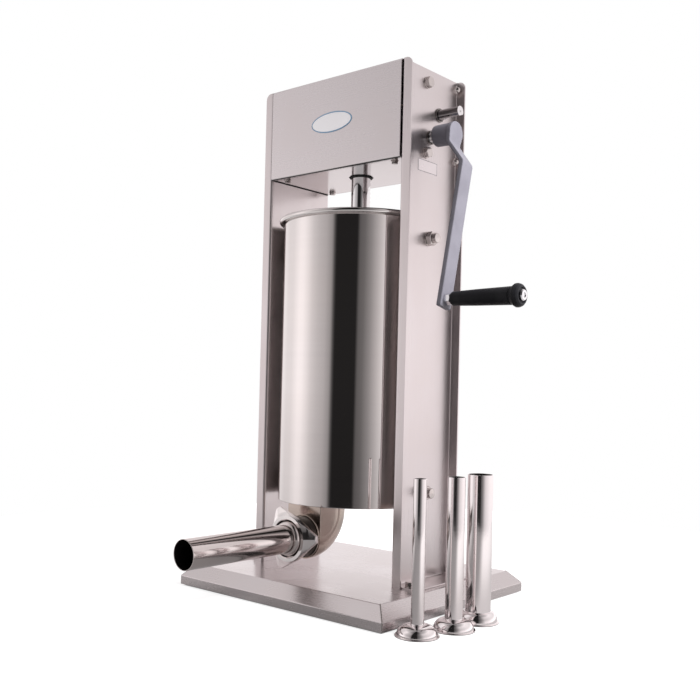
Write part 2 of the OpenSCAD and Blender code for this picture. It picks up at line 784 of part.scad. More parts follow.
// Crank, built hanging straight down from the slow shaft's axis and then turned.
module crank_place() {
    translate([0, 0, slow_z]) rotate([-crank_turn, 0, 0]) children();
}
module crank_arm() {
    bend = -arm_slant - 10;
    color("#7f8187") crank_place() difference() {
        union() {
            translate([hub_x, 0, 0]) along_x() cylinder(d = hub_d, h = hub_l);
            intersection() {
                // side view of the arm
                translate([0, arm_w, 0]) along_front() linear_extrude(2 * arm_w)
                    polygon([[hub_face, 2], [hub_face, -8], [arm_x, bend],
                        [arm_x, -crank_l - arm_w], [arm_x - arm_t, -crank_l - arm_w],
                        [arm_x - arm_t, bend - 2], [hub_face - arm_t, -10], [hub_face - arm_t, 2]]);
                // front view of the arm
                translate([hub_x, 0, 0]) along_x() linear_extrude(arm_x) union() {
                    translate([-arm_w / 2, -crank_l]) square([arm_w, crank_l]);
                    translate([0, -crank_l]) circle(d = arm_w);
                }
            }
        }
        // bore with a flat for the shaft
        translate([hub_x - 1, 0, 0]) along_x() difference() {
            cylinder(r = shaft_r + run_gap, h = hub_bore_l + 1);
            translate([-shaft_d, -shaft_d - shaft_r + flat_cut - run_gap, -1])
                cube([2 * shaft_d, shaft_d, hub_bore_l + 3]);
        }
        translate([arm_x - arm_t - 1, 0, -crank_l]) along_x() cylinder(d = spindle_d, h = arm_t + 2);
    }
}
module grip_axis(x) {
    crank_place() translate([x, 0, -crank_l]) along_x() children();
}
module grip_locknut() {
    color("lightgray") grip_axis(arm_x) hex_nut([spindle_d, 16, 0], locknut_t);
}
module grip_spindle() {
    cap_from = grip_end - arm_x + arm_t + 0.4;
    color("lightgray") grip_axis(arm_x - arm_t) difference() {
        union() {
            cylinder(d = spindle_d, h = cap_from);
            translate([0, 0, cap_from]) cylinder(r1 = 8.8, r2 = 8, h = 2.6);
        }
        translate([0, 0, cap_from + 0.8]) cylinder(r = 3.4, h = 10, $fn = 6);
    }
}
module grip() {
    color("#1b1b1d") grip_axis(grip_x) rotate_extrude() polygon([
        [spindle_d / 2 + grip_gap, 0], [grip_d1 / 2 - 1, 0], [grip_d1 / 2, 1],
        [grip_d2 / 2, grip_l - 15.4], [grip_d2 / 2 - 0.6, grip_l - 14.9],
        [grip_d2 / 2 - 0.6, grip_l - 14.3], [grip_d2 / 2 + 0.6, grip_l - 13.6],
        [grip_collar_d / 2 - 0.8, grip_l - 10], [grip_collar_d / 2, grip_l - 7.6],
        [grip_collar_d / 2, grip_l - 5], [grip_collar_d / 2 - 1.2, grip_l - 2],
        [grip_collar_d / 2 - 3.2, grip_l], [spindle_d / 2 + grip_gap, grip_l]]);
}

// Support pins: a shoulder inside the post, a nut and a rounded end outside.
module pin_places() {
    each_side() for (z = [pin_high_z, pin_low_z]) translate([web_in, 0, z]) along_x() children();
}
module support_pins() {
    color("#b9b6b4") pin_places() {
        translate([0, 0, -side_gap + 1.7]) cylinder(d = pin_d, h = side_gap - 1.7);
        cylinder(d = M10[0], h = 14);
        translate([0, 0, 14]) intersection() {
            scale(1) sphere(d = M10[0]);
            cylinder(d = M10[0], h = 6);
        }
    }
}
module pin_washers() {
    color("silver") pin_places() translate([0, 0, post_t]) ring(10, M10[0] / 2, washer_t);
}
module pin_nuts() {
    color("lightgray") pin_places() translate([0, 0, post_t + washer_t]) hex_nut(M10, M10[2]);
}

// Cylinder
module cylinder_wall() {
    color("#d8d4d2") translate([0, 0, cyl_low])
        ring(cyl_od / 2, cyl_in, cyl_len - rim_h);
}
module cylinder_floor() {
    color("#d8d4d2") translate([0, 0, cyl_low]) difference() {
        cylinder(r = cyl_in, h = floor_t);
        translate([0, -outlet_y, -1]) cylinder(d = elbow_od - 2 * elbow_t, h = floor_t + 2);
    }
}
module cylinder_rim() {
    bead_x = cyl_od / 2 + bead_r - 0.7;
    color("#d8d4d2") translate([0, 0, cyl_high - rim_h]) rotate_extrude() {
        translate([cyl_in, 0]) square([cyl_t, rim_h]);
        translate([cyl_in, rim_h - bead_t]) square([bead_x - cyl_in, bead_t]);
        translate([bead_x, rim_h - bead_r]) difference() {
            circle(r = bead_r);
            circle(r = bead_r - bead_t);
        }
    }
}
// Hooks welded to the cylinder: the upper pair opens backwards, the lower pair downwards.
module hook_slot(toward) {
    slot_r = pin_d / 2 + hook_gap;
    cylinder(r = slot_r, h = 40);
    rotate(toward) translate([0, -slot_r, 0]) cube([40, 2 * slot_r, 40]);
}
module cylinder_hooks() {
    reach = pin_d / 2 + hook_gap + hook_wall;
    outer = web_in - 3.2;
    color("#b9b6b4") each_side() difference() {
        union() {
            box(cyl_in, outer, -reach, reach, pin_high_z - reach, pin_high_z + reach);
            box(cyl_in, outer, -reach, reach, pin_low_z - reach, pin_low_z + reach);
        }
        cylinder(d = cyl_od, h = post_top);
        translate([cyl_in - 1, 0, pin_high_z]) along_x() hook_slot(0);
        translate([cyl_in - 1, 0, pin_low_z]) along_x() hook_slot(-90);
    }
}

// Outlet elbow, seen from the side as a quarter ring, and the threaded spout.
module elbow() {
    color("#c4b5ab") {
        translate([0, -outlet_y, spout_z + elbow_r])
            ring(elbow_od / 2, elbow_od / 2 - elbow_t, neck_l);
        translate([0, -bend_y, spout_z + elbow_r]) rotate([90, 0, 90]) rotate([0, 0, -90])
            rotate_extrude(angle = 90) translate([elbow_r, 0]) difference() {
                circle(d = elbow_od);
                circle(d = elbow_od - 2 * elbow_t);
            }
        translate([0, -bend_y, spout_z]) along_front()
            ring(elbow_od / 2, elbow_od / 2 - elbow_t, elbow_end);
    }
}
module threaded_spout() {
    root = thread_d / 2 - pitch * 0.45;
    turns = floor((thread_l - 1) / pitch);
    color("#55504d") translate([0, -bend_y - 1, spout_z]) along_front() rotate_extrude()
        polygon(concat(
            [[spout_id / 2, 0], [elbow_od / 2 - elbow_t, 0],
                [elbow_od / 2 - elbow_t, elbow_end - 1], [root, elbow_end - 1]],
            [for (k = [0:turns - 1], s = [0, 1])
                [s == 0 ? root : thread_d / 2, elbow_end - 0.5 + (k + s / 2 + 0.1) * pitch]],
            [[root, elbow_end - 1 + thread_l - 0.4], [root, elbow_end - 1 + thread_l],
                [spout_id / 2, elbow_end - 1 + thread_l]]));
}

// Nozzles: a flange, a dome and a straight tube; z = 0 is the flange's seat.
module nozzle(d) {
    steps = 10;
    r = d / 2;
    low = nozzle_flange_t;
    color("#e2dfdd") rotate_extrude() polygon(concat(
        [[nozzle_flange_d / 2, 0], [nozzle_flange_d / 2, low]],
        [for (i = [0:steps]) let (a = 90 * i / steps)
            [r + (dome_d / 2 - r) * cos(a), low + (dome_h - low) * sin(a)]],
        [[r, nozzle_len], [r - nozzle_t, nozzle_len]],
        [for (i = [steps:-1:0]) let (a = 90 * i / steps)
            [r - nozzle_t + (dome_d / 2 - r) * cos(a), (dome_h - low) * sin(a)]]));
}
module nozzle_tube() {
    translate([0, -seat_y, spout_z]) along_front() nozzle(nozzle_d1);
}
module spare_tube_narrow() {
    translate([spare_x, -spare_front, 0]) nozzle(nozzle_d2);
}
module spare_tube_middle() {
    translate([spare_x + spare_stagger, spare_pitch - spare_front, 0]) nozzle(nozzle_d3);
}
module spare_tube_wide() {
    translate([spare_x + spare_stagger, 2 * spare_pitch - spare_front, 0]) nozzle(nozzle_d4);
}
// A three-lobed nut with bevelled lobes.
module nozzle_nut() {
    half_tip = (nut_side - nut_reach / 2) / sin(60);
    inner = seat_y - nut_back + nozzle_flange_t + 0.5;
    color("#dedbd9") translate([0, -nut_back, spout_z]) along_front() difference() {
        intersection() {
            linear_extrude(nut_t) polygon([for (k = [0:2], s = [-1, 1])
                let (a = 120 * k)
                [nut_reach * cos(a) - s * half_tip * sin(a),
                    nut_reach * sin(a) + s * half_tip * cos(a)]]);
            rotate_extrude() polygon([[0, 0], [nut_reach - 6, 0], [nut_reach + 3, 7],
                [nut_reach + 3, nut_t - 10], [nut_side - 1, nut_t], [0, nut_t]]);
        }
        translate([0, 0, -1]) cylinder(r = nut_bore_r, h = inner + 1);
        cylinder(d = nut_hole_d, h = nut_t + 1);
    }
}

// Piston
module rack_gaps() {
    step = PI * gear_m;
    tip_y = rack_y + tip_m * gear_m;
    root_y = rack_y - root_m * gear_m;
    lean = tan(pressure);
    half = step / 4 + tooth_play / 2;
    first = ceil((rack_low - fast_z) / step) + 1;
    last = floor((rod_top - fast_z) / step) - 1;
    translate([-rod_d, 0, 0]) along_x() linear_extrude(2 * rod_d) polygon(concat(
        [[rod_d, rod_top + 1], [rod_d, rack_low], [tip_y, rack_low]],
        [for (k = [first:last], p = [[tip_y, -1], [root_y, -1], [root_y, 1], [tip_y, 1]])
            [p[0], fast_z + k * step + p[1] * (half + (p[0] - rack_y) * lean)]],
        [[tip_y, rod_top + 1]]));
}
module piston_rod() {
    color("#cfcbc9") difference() {
        translate([0, 0, rod_low]) cylinder(r = rod_r, h = rod_top - rod_low);
        rack_gaps();
        translate([0, 0, rod_low - 1]) cylinder(d = rod_screw_d, h = 36);
    }
}
module piston_plate() {
    color("#c9c6c4") difference() {
        union() {
            translate([0, 0, piston_low]) cylinder(r = plate_r, h = piston_t);
            translate([0, 0, piston_top]) cylinder(d = boss_d, h = boss_h);
        }
        translate([0, 0, rod_low]) cylinder(r = rod_r, h = 60);
        translate([0, 0, piston_low - 1]) cylinder(d = rod_screw_d, h = 40);
        translate([0, 0, piston_low - 1]) cylinder(r = screw_recess_r, h = screw_recess_h + 1);
        translate([0, -valve_off, piston_low - 1]) cylinder(r = valve_stem_r + 1.5, h = 60);
        translate([0, -valve_off, piston_low - 1])
            cylinder(r = valve_head_r + 1, h = valve_seat - piston_low + 1);
    }
}
module piston_gasket() {
    color("#e9e6df") translate([0, 0, piston_low]) rotate_extrude() polygon([
        [plate_r, 0], [plate_r + gasket_w - 0.6, 0], [plate_r + gasket_w, 0.8],
        [plate_r + gasket_w - 0.8, 4], [plate_r + gasket_w - 0.8, piston_t - 3],
        [plate_r + gasket_w, piston_t + gasket_lip - 0.6],
        [plate_r + gasket_w - 0.5, piston_t + gasket_lip], [plate_r, piston_t]]);
}
module piston_screw() {
    color("lightgray") translate([0, 0, piston_low + screw_recess_h]) mirror([0, 0, 1])
        hex_bolt([rod_screw_d, 18, 7.5], 34);
}
module at_valve(z) {
    translate([0, -valve_off, z]) children();
}
module valve_housing() {
    color("#b9b6b4") at_valve(piston_top) difference() {
        cylinder(r = valve_body_r, h = valve_body_h);
        translate([0, 0, -1]) cylinder(r = valve_stem_r + 3.5, h = valve_body_h - 2);
        cylinder(r = valve_stem_r + 0.1, h = valve_body_h + 1);
        for (a = [0, 90]) rotate([90, 0, a]) translate([0, 5, -20]) cylinder(r = 1.6, h = 40);
    }
}
module valve_poppet() {
    color("#c9c6c4") {
        at_valve(valve_seat - valve_travel - 1.6) cylinder(r = valve_head_r, h = 1.5);
        at_valve(valve_seat - valve_travel - 0.2)
            cylinder(r = valve_stem_r, h = piston_top + valve_body_h + 1 - valve_seat);
        at_valve(valve_collar) cylinder(r = valve_stem_r + 2.4, h = 1.2);
    }
}
module valve_spring() {
    wire = 0.4;
    low = valve_collar + 1.2 + wire;
    rise = valve_cap - wire - low;
    coil_r = valve_stem_r + 1.3;
    turns = 4;
    rings = turns * 16;
    sides = 8;
    points = [for (i = [0:rings], j = [0:sides - 1])
        let (a = 360 * turns * i / rings, b = 360 * j / sides, r = coil_r + wire * cos(b))
        [r * cos(a), r * sin(a), rise * i / rings + wire * sin(b)]];
    walls = [for (i = [0:rings - 1], j = [0:sides - 1])
        [i * sides + j, i * sides + (j + 1) % sides,
            (i + 1) * sides + (j + 1) % sides, (i + 1) * sides + j]];
    color("gray") at_valve(low) polyhedron(points, concat(
        [[for (j = [sides - 1:-1:0]) j]], walls, [[for (j = [0:sides - 1]) rings * sides + j]]));
}

base_tray();
base_feet();
foot_studs();
left_post();
right_post();
base_bolts();
base_washers();
base_nuts();
head_plate();
head_bolts();
head_nuts();
head_brackets();
top_channel();
front_cover();
rear_cover();
cover_screws();
cover_studs();
cover_dome_nuts();
side_bolts();
side_washers();
side_nuts();
gear_plates();
plate_screws();
bearing_plate();
shaft_bushes();
rod_guides();
rod_seal();
slow_shaft();
slow_pinion();
slow_ring();
fast_shaft();
fast_gear();
rack_pinion();
fast_rings();
crank_arm();
grip_locknut();
grip_spindle();
grip();
support_pins();
pin_washers();
pin_nuts();
cylinder_wall();
cylinder_floor();
cylinder_rim();
cylinder_hooks();
elbow();
threaded_spout();
nozzle_tube();
nozzle_nut();
spare_tube_narrow();
spare_tube_middle();
spare_tube_wide();
piston_rod();
piston_plate();
piston_gasket();
piston_screw();
valve_housing();
valve_poppet();
valve_spring();
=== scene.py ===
# %% [markdown]
# # A vertical sausage stuffer
# The real machine is a stainless frame with a polished cylinder, a geared head, a cast crank
# and a set of thin nozzles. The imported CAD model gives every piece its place, and this lesson
# dresses it. A shape here is a surface worked out with numpy: a profile turned about an axis,
# or sections carried along a path. That keeps bends, threads and domes true at any size.

# %% Load the frame and measure it
import math
import bpy
import bmesh
import numpy as np
from mathutils import Vector, Matrix
from mathutils.bvhtree import BVHTree


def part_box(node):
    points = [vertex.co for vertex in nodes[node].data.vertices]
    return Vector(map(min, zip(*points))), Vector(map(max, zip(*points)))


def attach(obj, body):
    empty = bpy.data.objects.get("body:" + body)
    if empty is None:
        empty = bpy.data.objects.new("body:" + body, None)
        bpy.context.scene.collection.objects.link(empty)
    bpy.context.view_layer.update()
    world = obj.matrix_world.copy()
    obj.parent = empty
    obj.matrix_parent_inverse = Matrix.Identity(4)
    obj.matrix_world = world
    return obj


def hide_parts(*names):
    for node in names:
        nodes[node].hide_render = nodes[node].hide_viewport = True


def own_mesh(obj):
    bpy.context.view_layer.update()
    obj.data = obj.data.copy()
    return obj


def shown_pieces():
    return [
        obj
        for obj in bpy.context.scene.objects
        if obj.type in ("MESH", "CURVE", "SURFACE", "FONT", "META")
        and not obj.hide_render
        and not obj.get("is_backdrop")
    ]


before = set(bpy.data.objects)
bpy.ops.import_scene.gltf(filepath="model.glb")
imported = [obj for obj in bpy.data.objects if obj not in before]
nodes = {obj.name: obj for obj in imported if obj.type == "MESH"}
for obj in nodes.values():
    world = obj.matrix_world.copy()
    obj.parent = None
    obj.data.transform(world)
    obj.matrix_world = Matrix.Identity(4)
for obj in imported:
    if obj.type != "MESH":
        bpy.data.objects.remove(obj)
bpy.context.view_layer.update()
MM = 0.001
X, Z = (1, 0, 0), (0, 0, 1)
FRONT = (0, -1, 0)            # the way the nozzle points


def box_mm(node):
    """Lowest and highest corner of a CAD node, in millimetres."""
    low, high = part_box(node)
    return np.array(low) / MM, np.array(high) / MM


# %% [markdown]
# ## Camera
# The photograph was taken from the front right, a little below the middle of the machine. One
# camera was fitted to measured corners of the posts, the base and the rim, so it is set first
# and every other decision is checked through it. Its shift is small: the picture was cropped.

# %% Set the camera
CAMERA_AT = Vector((0.84676, -1.00576, 0.29064))
CAMERA_TURN = 40.51
CAMERA_PITCH = 0.82
CAMERA_ROLL = 1.37
CAMERA_LENS = 46.59
CAMERA_SHIFT_Y = 0.0349
FRAME_W = FRAME_H = 700
SPAN = max(FRAME_W, FRAME_H)
NEAR, FAR = 0.6, 2.4        # metres from the camera between which the object stands

scene = bpy.context.scene
cam_data = bpy.data.cameras.new("camera")
cam_data.sensor_fit = "AUTO"
cam_data.lens = CAMERA_LENS
cam_data.shift_y = CAMERA_SHIFT_Y
cam_data.clip_end = 50
camera = bpy.data.objects.new("camera", cam_data)
camera.matrix_world = (
    Matrix.Translation(CAMERA_AT)
    @ Matrix.Rotation(math.radians(CAMERA_TURN), 4, "Z")
    @ Matrix.Rotation(math.radians(90 + CAMERA_PITCH), 4, "X")
    @ Matrix.Rotation(math.radians(CAMERA_ROLL), 4, "Z")
)
scene.collection.objects.link(camera)
scene.camera = camera


def pixel_of(point):
    """Where a point in metres shows: divide by depth, scale by the lens, undo the shift."""
    p = camera.matrix_world.inverted() @ Vector(point)
    scale = SPAN * cam_data.lens / cam_data.sensor_width / -p.z
    return (FRAME_W / 2 - cam_data.shift_x * SPAN + p.x * scale,
            FRAME_H / 2 + cam_data.shift_y * SPAN - p.y * scale)


def ray_at(x, y):
    """The ray through a pixel: (x - W/2 + shift_x L, H/2 - y + shift_y L, -L lens / sensor)."""
    d = Vector((x - FRAME_W / 2 + cam_data.shift_x * SPAN,
                FRAME_H / 2 - y + cam_data.shift_y * SPAN,
                -SPAN * cam_data.lens / cam_data.sensor_width))
    return CAMERA_AT, (camera.matrix_world.to_3x3() @ d).normalized()


def placed(ob, x, y):
    """Where the ray through an image point meets a finished piece, in millimetres, and the
    surface's normal there. A miss takes the piece's place nearest the ray."""
    tree = BVHTree.FromObject(ob, bpy.context.evaluated_depsgraph_get())
    start, way = ray_at(x, y)
    hit, normal, _, _ = tree.ray_cast(start, way)
    if hit is None:
        along = [tree.find_nearest(start + way * d) for d in np.linspace(NEAR, FAR, 600)]
        hit, normal, _, _ = min(along, key=lambda found: found[3])
    return np.array(hit) / MM, np.array(normal)


# %% [markdown]
# ## Surfaces from numpy
# A grid of points becomes quads when each point is joined to its neighbours. The same few
# helpers serve every piece: round the corners of a profile, turn it, or carry it along.

# %% Helpers for profiles and surfaces
STRAIGHT = 0.02      # corners within this angle of straight or of a full fold aren't rounded
SHARE = 0.49         # an arc takes at most this share of either side of its corner


def rounded(points, radius, steps=5, closed=True):
    """Each corner becomes an arc tangent to both sides. An arc of radius r in a corner of
    angle a starts r / tan(a / 2) from the corner, and its middle lies on the bisector."""
    pts = np.asarray(points, float)
    n = len(pts)
    radii = np.broadcast_to(np.asarray(radius, float), (n,))
    out = []
    for i in range(n):
        p, r = pts[i], radii[i]
        if r <= 0 or (not closed and i in (0, n - 1)):
            out.append(p[None])
            continue
        a, b = pts[i - 1] - p, pts[(i + 1) % n] - p
        la, lb = np.linalg.norm(a), np.linalg.norm(b)
        a, b = a / la, b / lb
        angle = math.acos(max(-1.0, min(1.0, float(a @ b))))
        if angle > math.pi - STRAIGHT or angle < STRAIGHT:
            out.append(p[None])
            continue
        d = min(r / math.tan(angle / 2), SHARE * la, SHARE * lb)
        r = d * math.tan(angle / 2)
        middle = p + (a + b) / np.linalg.norm(a + b) * r / math.sin(angle / 2)
        s, e = (p + a * d - middle) / r, (p + b * d - middle) / r
        sweep = math.pi - angle
        t = np.linspace(0, 1, steps + 1)[:, None]
        out.append(middle + r * (np.sin((1 - t) * sweep) * s + np.sin(t * sweep) * e)
                   / math.sin(sweep))
    return np.concatenate(out)


def braced(points, closed=True, gap=0.35):
    """Long straight stretches get a point close to each end, so that the smooth shading of a
    bend stays at the bend and the flat beside it stays flat."""
    p = np.asarray(points, float)
    ends = np.roll(p, -1, axis=0) if closed else p[1:]
    starts = p if closed else p[:-1]
    out = []
    for a, b in zip(starts, ends):
        out.append(a[None])
        length = np.linalg.norm(b - a)
        if length > 8 * gap:
            step = (b - a) / length * gap
            out += [(a + step)[None], (b - step)[None]]
    if not closed:
        out.append(p[-1:])
    return np.concatenate(out)


def box_line(x, y):
    """The four corners of a rectangle about the middle, from its half sizes."""
    return [(x, y), (-x, y), (-x, -y), (x, -y)]


def full_turn(count):
    """Evenly spaced angles once round, without the last, which is the first again."""
    return np.linspace(0, 2 * np.pi, count, endpoint=False)


def spokes(t, u, v):
    """Unit vectors at the angles t in the plane of u and v: cos t u + sin t v."""
    return np.cos(t)[:, None] * u + np.sin(t)[:, None] * v


def grid_quads(rows, cols, wrap_rows=False, wrap_cols=False):
    """Quads that join each grid point to the next row and the next column."""
    r = np.arange(rows if wrap_rows else rows - 1)
    c = np.arange(cols if wrap_cols else cols - 1)
    r, c = np.meshgrid(r, c, indexing="ij")
    r2, c2 = (r + 1) % rows, (c + 1) % cols
    quads = np.stack([r * cols + c, r * cols + c2, r2 * cols + c2, r2 * cols + c], -1)
    return quads.reshape(-1, 4)


def ring_form(rings):
    """Closed rings of equal length, joined in order and back to the first: a form with a hole,
    or one whose first and last ring are the two edges of a wall."""
    rings = np.asarray(rings, float)
    return rings.reshape(-1, 3), grid_quads(*rings.shape[:2], True, True)


def carried(rings):
    """Closed rings of equal length, joined in order. Each end is filled with one face."""
    rings = np.asarray(rings, float)
    k, n = rings.shape[:2]
    faces = [list(q) for q in grid_quads(k, n, False, True)]
    faces.append(list(range(n - 1, -1, -1)))
    faces.append(list(range((k - 1) * n, k * n)))
    return rings.reshape(-1, 3), faces


def axes_of(axis):
    """Two directions square to an axis, so that u, v, axis turn the right-hand way."""
    w = np.asarray(axis, float)
    w = w / np.linalg.norm(w)
    u = np.cross(Z, w) if abs(w[2]) < 0.9 else np.array([1.0, 0, 0])
    u = u / np.linalg.norm(u)
    return u, np.cross(w, u), w


def lathe(profile, at, axis, turns=128, closed=True, brace=True):
    """A profile of (radius, height) turned about an axis through at:
    point = at + height w + radius (cos t u + sin t v)."""
    p = braced(profile, closed) if brace else np.asarray(profile, float)
    u, v, w = axes_of(axis)
    around = spokes(full_turn(turns), u, v)
    pts = np.asarray(at, float) + p[:, 1, None, None] * w + p[:, 0, None, None] * around
    return pts.reshape(-1, 3), grid_quads(len(p), turns, closed, True)


def strip_outline(line, thickness):
    """Both sides of a bent sheet: the middle line moved half a thickness along its normals,
    with the normal at a corner lengthened so that the sheet keeps its thickness."""
    p = np.asarray(line, float)
    d = np.diff(p, axis=0)
    d = d / np.linalg.norm(d, axis=1)[:, None]
    n = np.stack([-d[:, 1], d[:, 0]], 1)
    m = np.concatenate([n[:1], n[:-1] + n[1:], n[-1:]])
    m = m / np.linalg.norm(m, axis=1)[:, None]
    k = np.concatenate([[1.0], (m[1:-1] * n[1:]).sum(1), [1.0]])
    off = m * (thickness / 2 / k)[:, None]
    return p + off, p - off


def bent_sheet(line, thickness, low, high, lift):
    """A bent sheet between two heights, which may vary along its line. lift(x, y, z) places
    (along the section, height) points. Both faces, both ends and both rims are grids."""
    a, b = strip_outline(line, thickness)
    low = np.broadcast_to(np.asarray(low, float), (len(a),))
    high = np.broadcast_to(np.asarray(high, float), (len(a),))
    ring = np.concatenate([a, b[::-1]])
    bottom = lift(ring[:, 0], ring[:, 1], np.concatenate([low, low[::-1]]))
    top = lift(ring[:, 0], ring[:, 1], np.concatenate([high, high[::-1]]))
    n, m = len(ring), len(a)
    faces = grid_quads(2, n, False, True)
    i = np.arange(m - 1)
    rim = np.stack([i, i + 1, n - 2 - i, n - 1 - i], 1)
    return np.concatenate([bottom, top]), np.concatenate([faces, rim, rim[:, ::-1] + n])


# %% [markdown]
# ## From points to a finished piece
# A mesh needs more than points: doubles merged, faces turned outwards, edges kept sharp where
# the metal is folded, and a body to ride on. One function does all of it, so that no piece can
# miss a step. Fine bevels stay a modifier, because they only have to catch the light.

# %% Helpers for finished pieces
made = {}


def piece(name, parts, body, material, stands_for=(), crease=32.0, edge=0.0,
          merge=0.002, bore=None):
    """Puts parts (points in mm, faces) into one mesh with outward faces, smooth up to the
    crease angle, and lets it ride on its body. edge is the width of a fine bevel, and bore
    marks the points where the finish paints shade: dark inside a tube and under its flange."""
    verts, faces, start = [], [], 0
    for points, quads in parts:
        verts.append(np.asarray(points) * MM)
        faces += [[int(i) + start for i in q] for q in quads]
        start += len(points)
    mesh = bpy.data.meshes.new(name)
    mesh.from_pydata(np.concatenate(verts), [], faces)
    if bore is not None:
        mesh.attributes.new("bore", "FLOAT", "POINT").data.foreach_set(
            "value", np.asarray(bore, np.float32))
    bm = bmesh.new()
    bm.from_mesh(mesh)
    bmesh.ops.remove_doubles(bm, verts=bm.verts, dist=merge * MM)
    bmesh.ops.dissolve_degenerate(bm, edges=bm.edges, dist=merge * MM / 2)
    bmesh.ops.recalc_face_normals(bm, faces=bm.faces)
    bm.to_mesh(mesh)
    bm.free()
    ob = bpy.data.objects.new(name, mesh)
    scene.collection.objects.link(ob)
    finish_piece(ob, body, material, stands_for, crease, edge)
    return ob


def finish_piece(ob, body, material, stands_for=(), crease=32.0, edge=0.0):
    """Smooths a piece, gives it its bevel and finish, lets it ride on its body, hides the CAD
    parts it stands for and counts its faces.
    """
    mesh = ob.data
    mesh.polygons.foreach_set("use_smooth", np.ones(len(mesh.polygons), bool))
    mesh.set_sharp_from_angle(angle=math.radians(crease))
    if edge:
        bevel = ob.modifiers.new("edge", "BEVEL")
        bevel.width = edge * MM
        bevel.segments = 2
        bevel.limit_method = "ANGLE"
        bevel.angle_limit = math.radians(crease)
        bevel.harden_normals = True
    mesh.materials.clear()
    mesh.materials.append(material)
    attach(ob, body)
    if stands_for:
        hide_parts(*stands_for)
    made[ob.name] = len(mesh.polygons)


def bake(ob):
    """Replaces a piece's mesh by what its modifiers make of it, and drops the modifiers."""
    graph = bpy.context.evaluated_depsgraph_get()
    done = bpy.data.meshes.new_from_object(ob.evaluated_get(graph))
    ob.modifiers.clear()
    old, ob.data = ob.data, done
    bpy.data.meshes.remove(old)


def cut(ob, parts):
    """Takes the given closed parts out of a mesh with an exact boolean."""
    tool = piece("cutter", parts, "frame", ob.data.materials[0])
    boolean = ob.modifiers.new("cut", "BOOLEAN")
    boolean.object = tool
    boolean.solver = "EXACT"
    bake(ob)
    bpy.data.objects.remove(tool)
    made.pop("cutter", None)


# %% [markdown]
# ## Effects shared by the finishes
# Brushed and polished steel carry a fine grain, and steel and paint alike are clouded by
# handling and have small marks. Each effect is one node group, built once and placed in each
# material with its own values. The groups put out masks and heights only; the shader stays in
# the material.

# %% Helpers for shader nodes
def feed(tree, socket, value):
    """Links another node's output into a socket, or sets the socket to a plain value."""
    if isinstance(value, bpy.types.NodeSocket):
        tree.links.new(value, socket)
    else:
        socket.default_value = value


def add(tree, kind, inputs=(), **settings):
    """A new shader node with its settings. inputs maps a socket's name or number to a value."""
    n = tree.nodes.new("ShaderNode" + kind)
    for setting, value in settings.items():
        setattr(n, setting, value)
    for key, value in dict(inputs).items():
        feed(tree, n.inputs[key], value)
    return n


def math_node(tree, what, *values):
    """The result of a Math node on numbers or other nodes' outputs."""
    return add(tree, "Math", enumerate(values), operation=what).outputs[0]


def noise_node(tree, vector, scale, detail=2.0, rough=0.5):
    """Cloudy noise from 0 to 1: a larger scale gives smaller clouds."""
    return add(tree, "TexNoise", {"Vector": vector, "Scale": scale, "Detail": detail,
                                  "Roughness": rough}).outputs["Fac"]


def spread_node(tree, value, low, high, out_low=0.0, out_high=1.0):
    """A soft step: out_low where the value is below low, out_high where it is above high."""
    return add(tree, "MapRange", enumerate((value, low, high, out_low, out_high)),
               interpolation_type="SMOOTHSTEP").outputs[0]


def colour_mix(tree, mask, a, b):
    """Colour a where the mask is 0 and b where it is 1."""
    a, b = ((*v, 1) if isinstance(v, tuple) else v for v in (a, b))
    return add(tree, "Mix", {0: mask, 6: a, 7: b}, data_type="RGBA").outputs[2]


def number_mix(tree, mask, a, b):
    """Number a where the mask is 0 and b where it is 1."""
    return add(tree, "Mix", {0: mask, 2: a, 3: b}).outputs[0]


def bump_node(tree, height, strength, distance):
    """A normal tilted by the height's slope, as if its full step were distance metres high."""
    return add(tree, "Bump", {"Strength": strength, "Distance": distance,
                              "Height": height}).outputs[0]


# %% Node groups
def new_group(name, inputs, outputs):
    """An empty group. inputs maps names to start values, and a tuple makes a vector socket."""
    tree = bpy.data.node_groups.new(name, "ShaderNodeTree")
    for label, value in inputs.items():
        kind = "NodeSocketVector" if isinstance(value, tuple) else "NodeSocketFloat"
        tree.interface.new_socket(label, in_out="INPUT", socket_type=kind).default_value = value
    for label in outputs:
        tree.interface.new_socket(label, in_out="OUTPUT", socket_type="NodeSocketFloat")
    return (tree, tree.nodes.new("NodeGroupInput").outputs,
            tree.nodes.new("NodeGroupOutput").inputs)


def grain_group():
    """Noise stretched along the brushing: the point is scaled by a vector that is small along
    the grain and large across it. Broad and fine streaks are added."""
    tree, given, out = new_group("brushed grain", {"Vector": (0, 0, 0), "Stretch": (1, 1, 1)},
                                 ("Height", "Streak"))
    scaled = add(tree, "VectorMath", {0: given["Vector"], 1: given["Stretch"]},
                 operation="MULTIPLY").outputs[0]
    fine = noise_node(tree, scaled, 1.0, 3.0, 0.7)
    broad = noise_node(tree, scaled, 0.11, 2.0, 0.6)
    mixed = math_node(tree, "ADD", math_node(tree, "MULTIPLY", fine, 0.45),
                      math_node(tree, "MULTIPLY", broad, 0.55))
    feed(tree, out["Height"], fine)
    feed(tree, out["Streak"], spread_node(tree, mixed, 0.3, 0.7))
    return tree


def clouds_group():
    """Soft clouds from wiping and handling: a broad noise through a soft step. A second mask
    holds small marks, where a noise nine times finer passes a threshold."""
    tree, given, out = new_group("handling clouds", {"Vector": (0, 0, 0), "Size": 12.0},
                                 ("Clouds", "Marks"))
    broad = noise_node(tree, given["Vector"], given["Size"], 3.0, 0.55)
    fine = noise_node(tree, given["Vector"], math_node(tree, "MULTIPLY", given["Size"], 9.0))
    feed(tree, out["Clouds"], spread_node(tree, broad, 0.32, 0.68))
    feed(tree, out["Marks"], spread_node(tree, fine, 0.62, 0.74))
    return tree


GRAIN = grain_group()
CLOUDS = clouds_group()
print("node groups:", GRAIN.name, "and", CLOUDS.name)

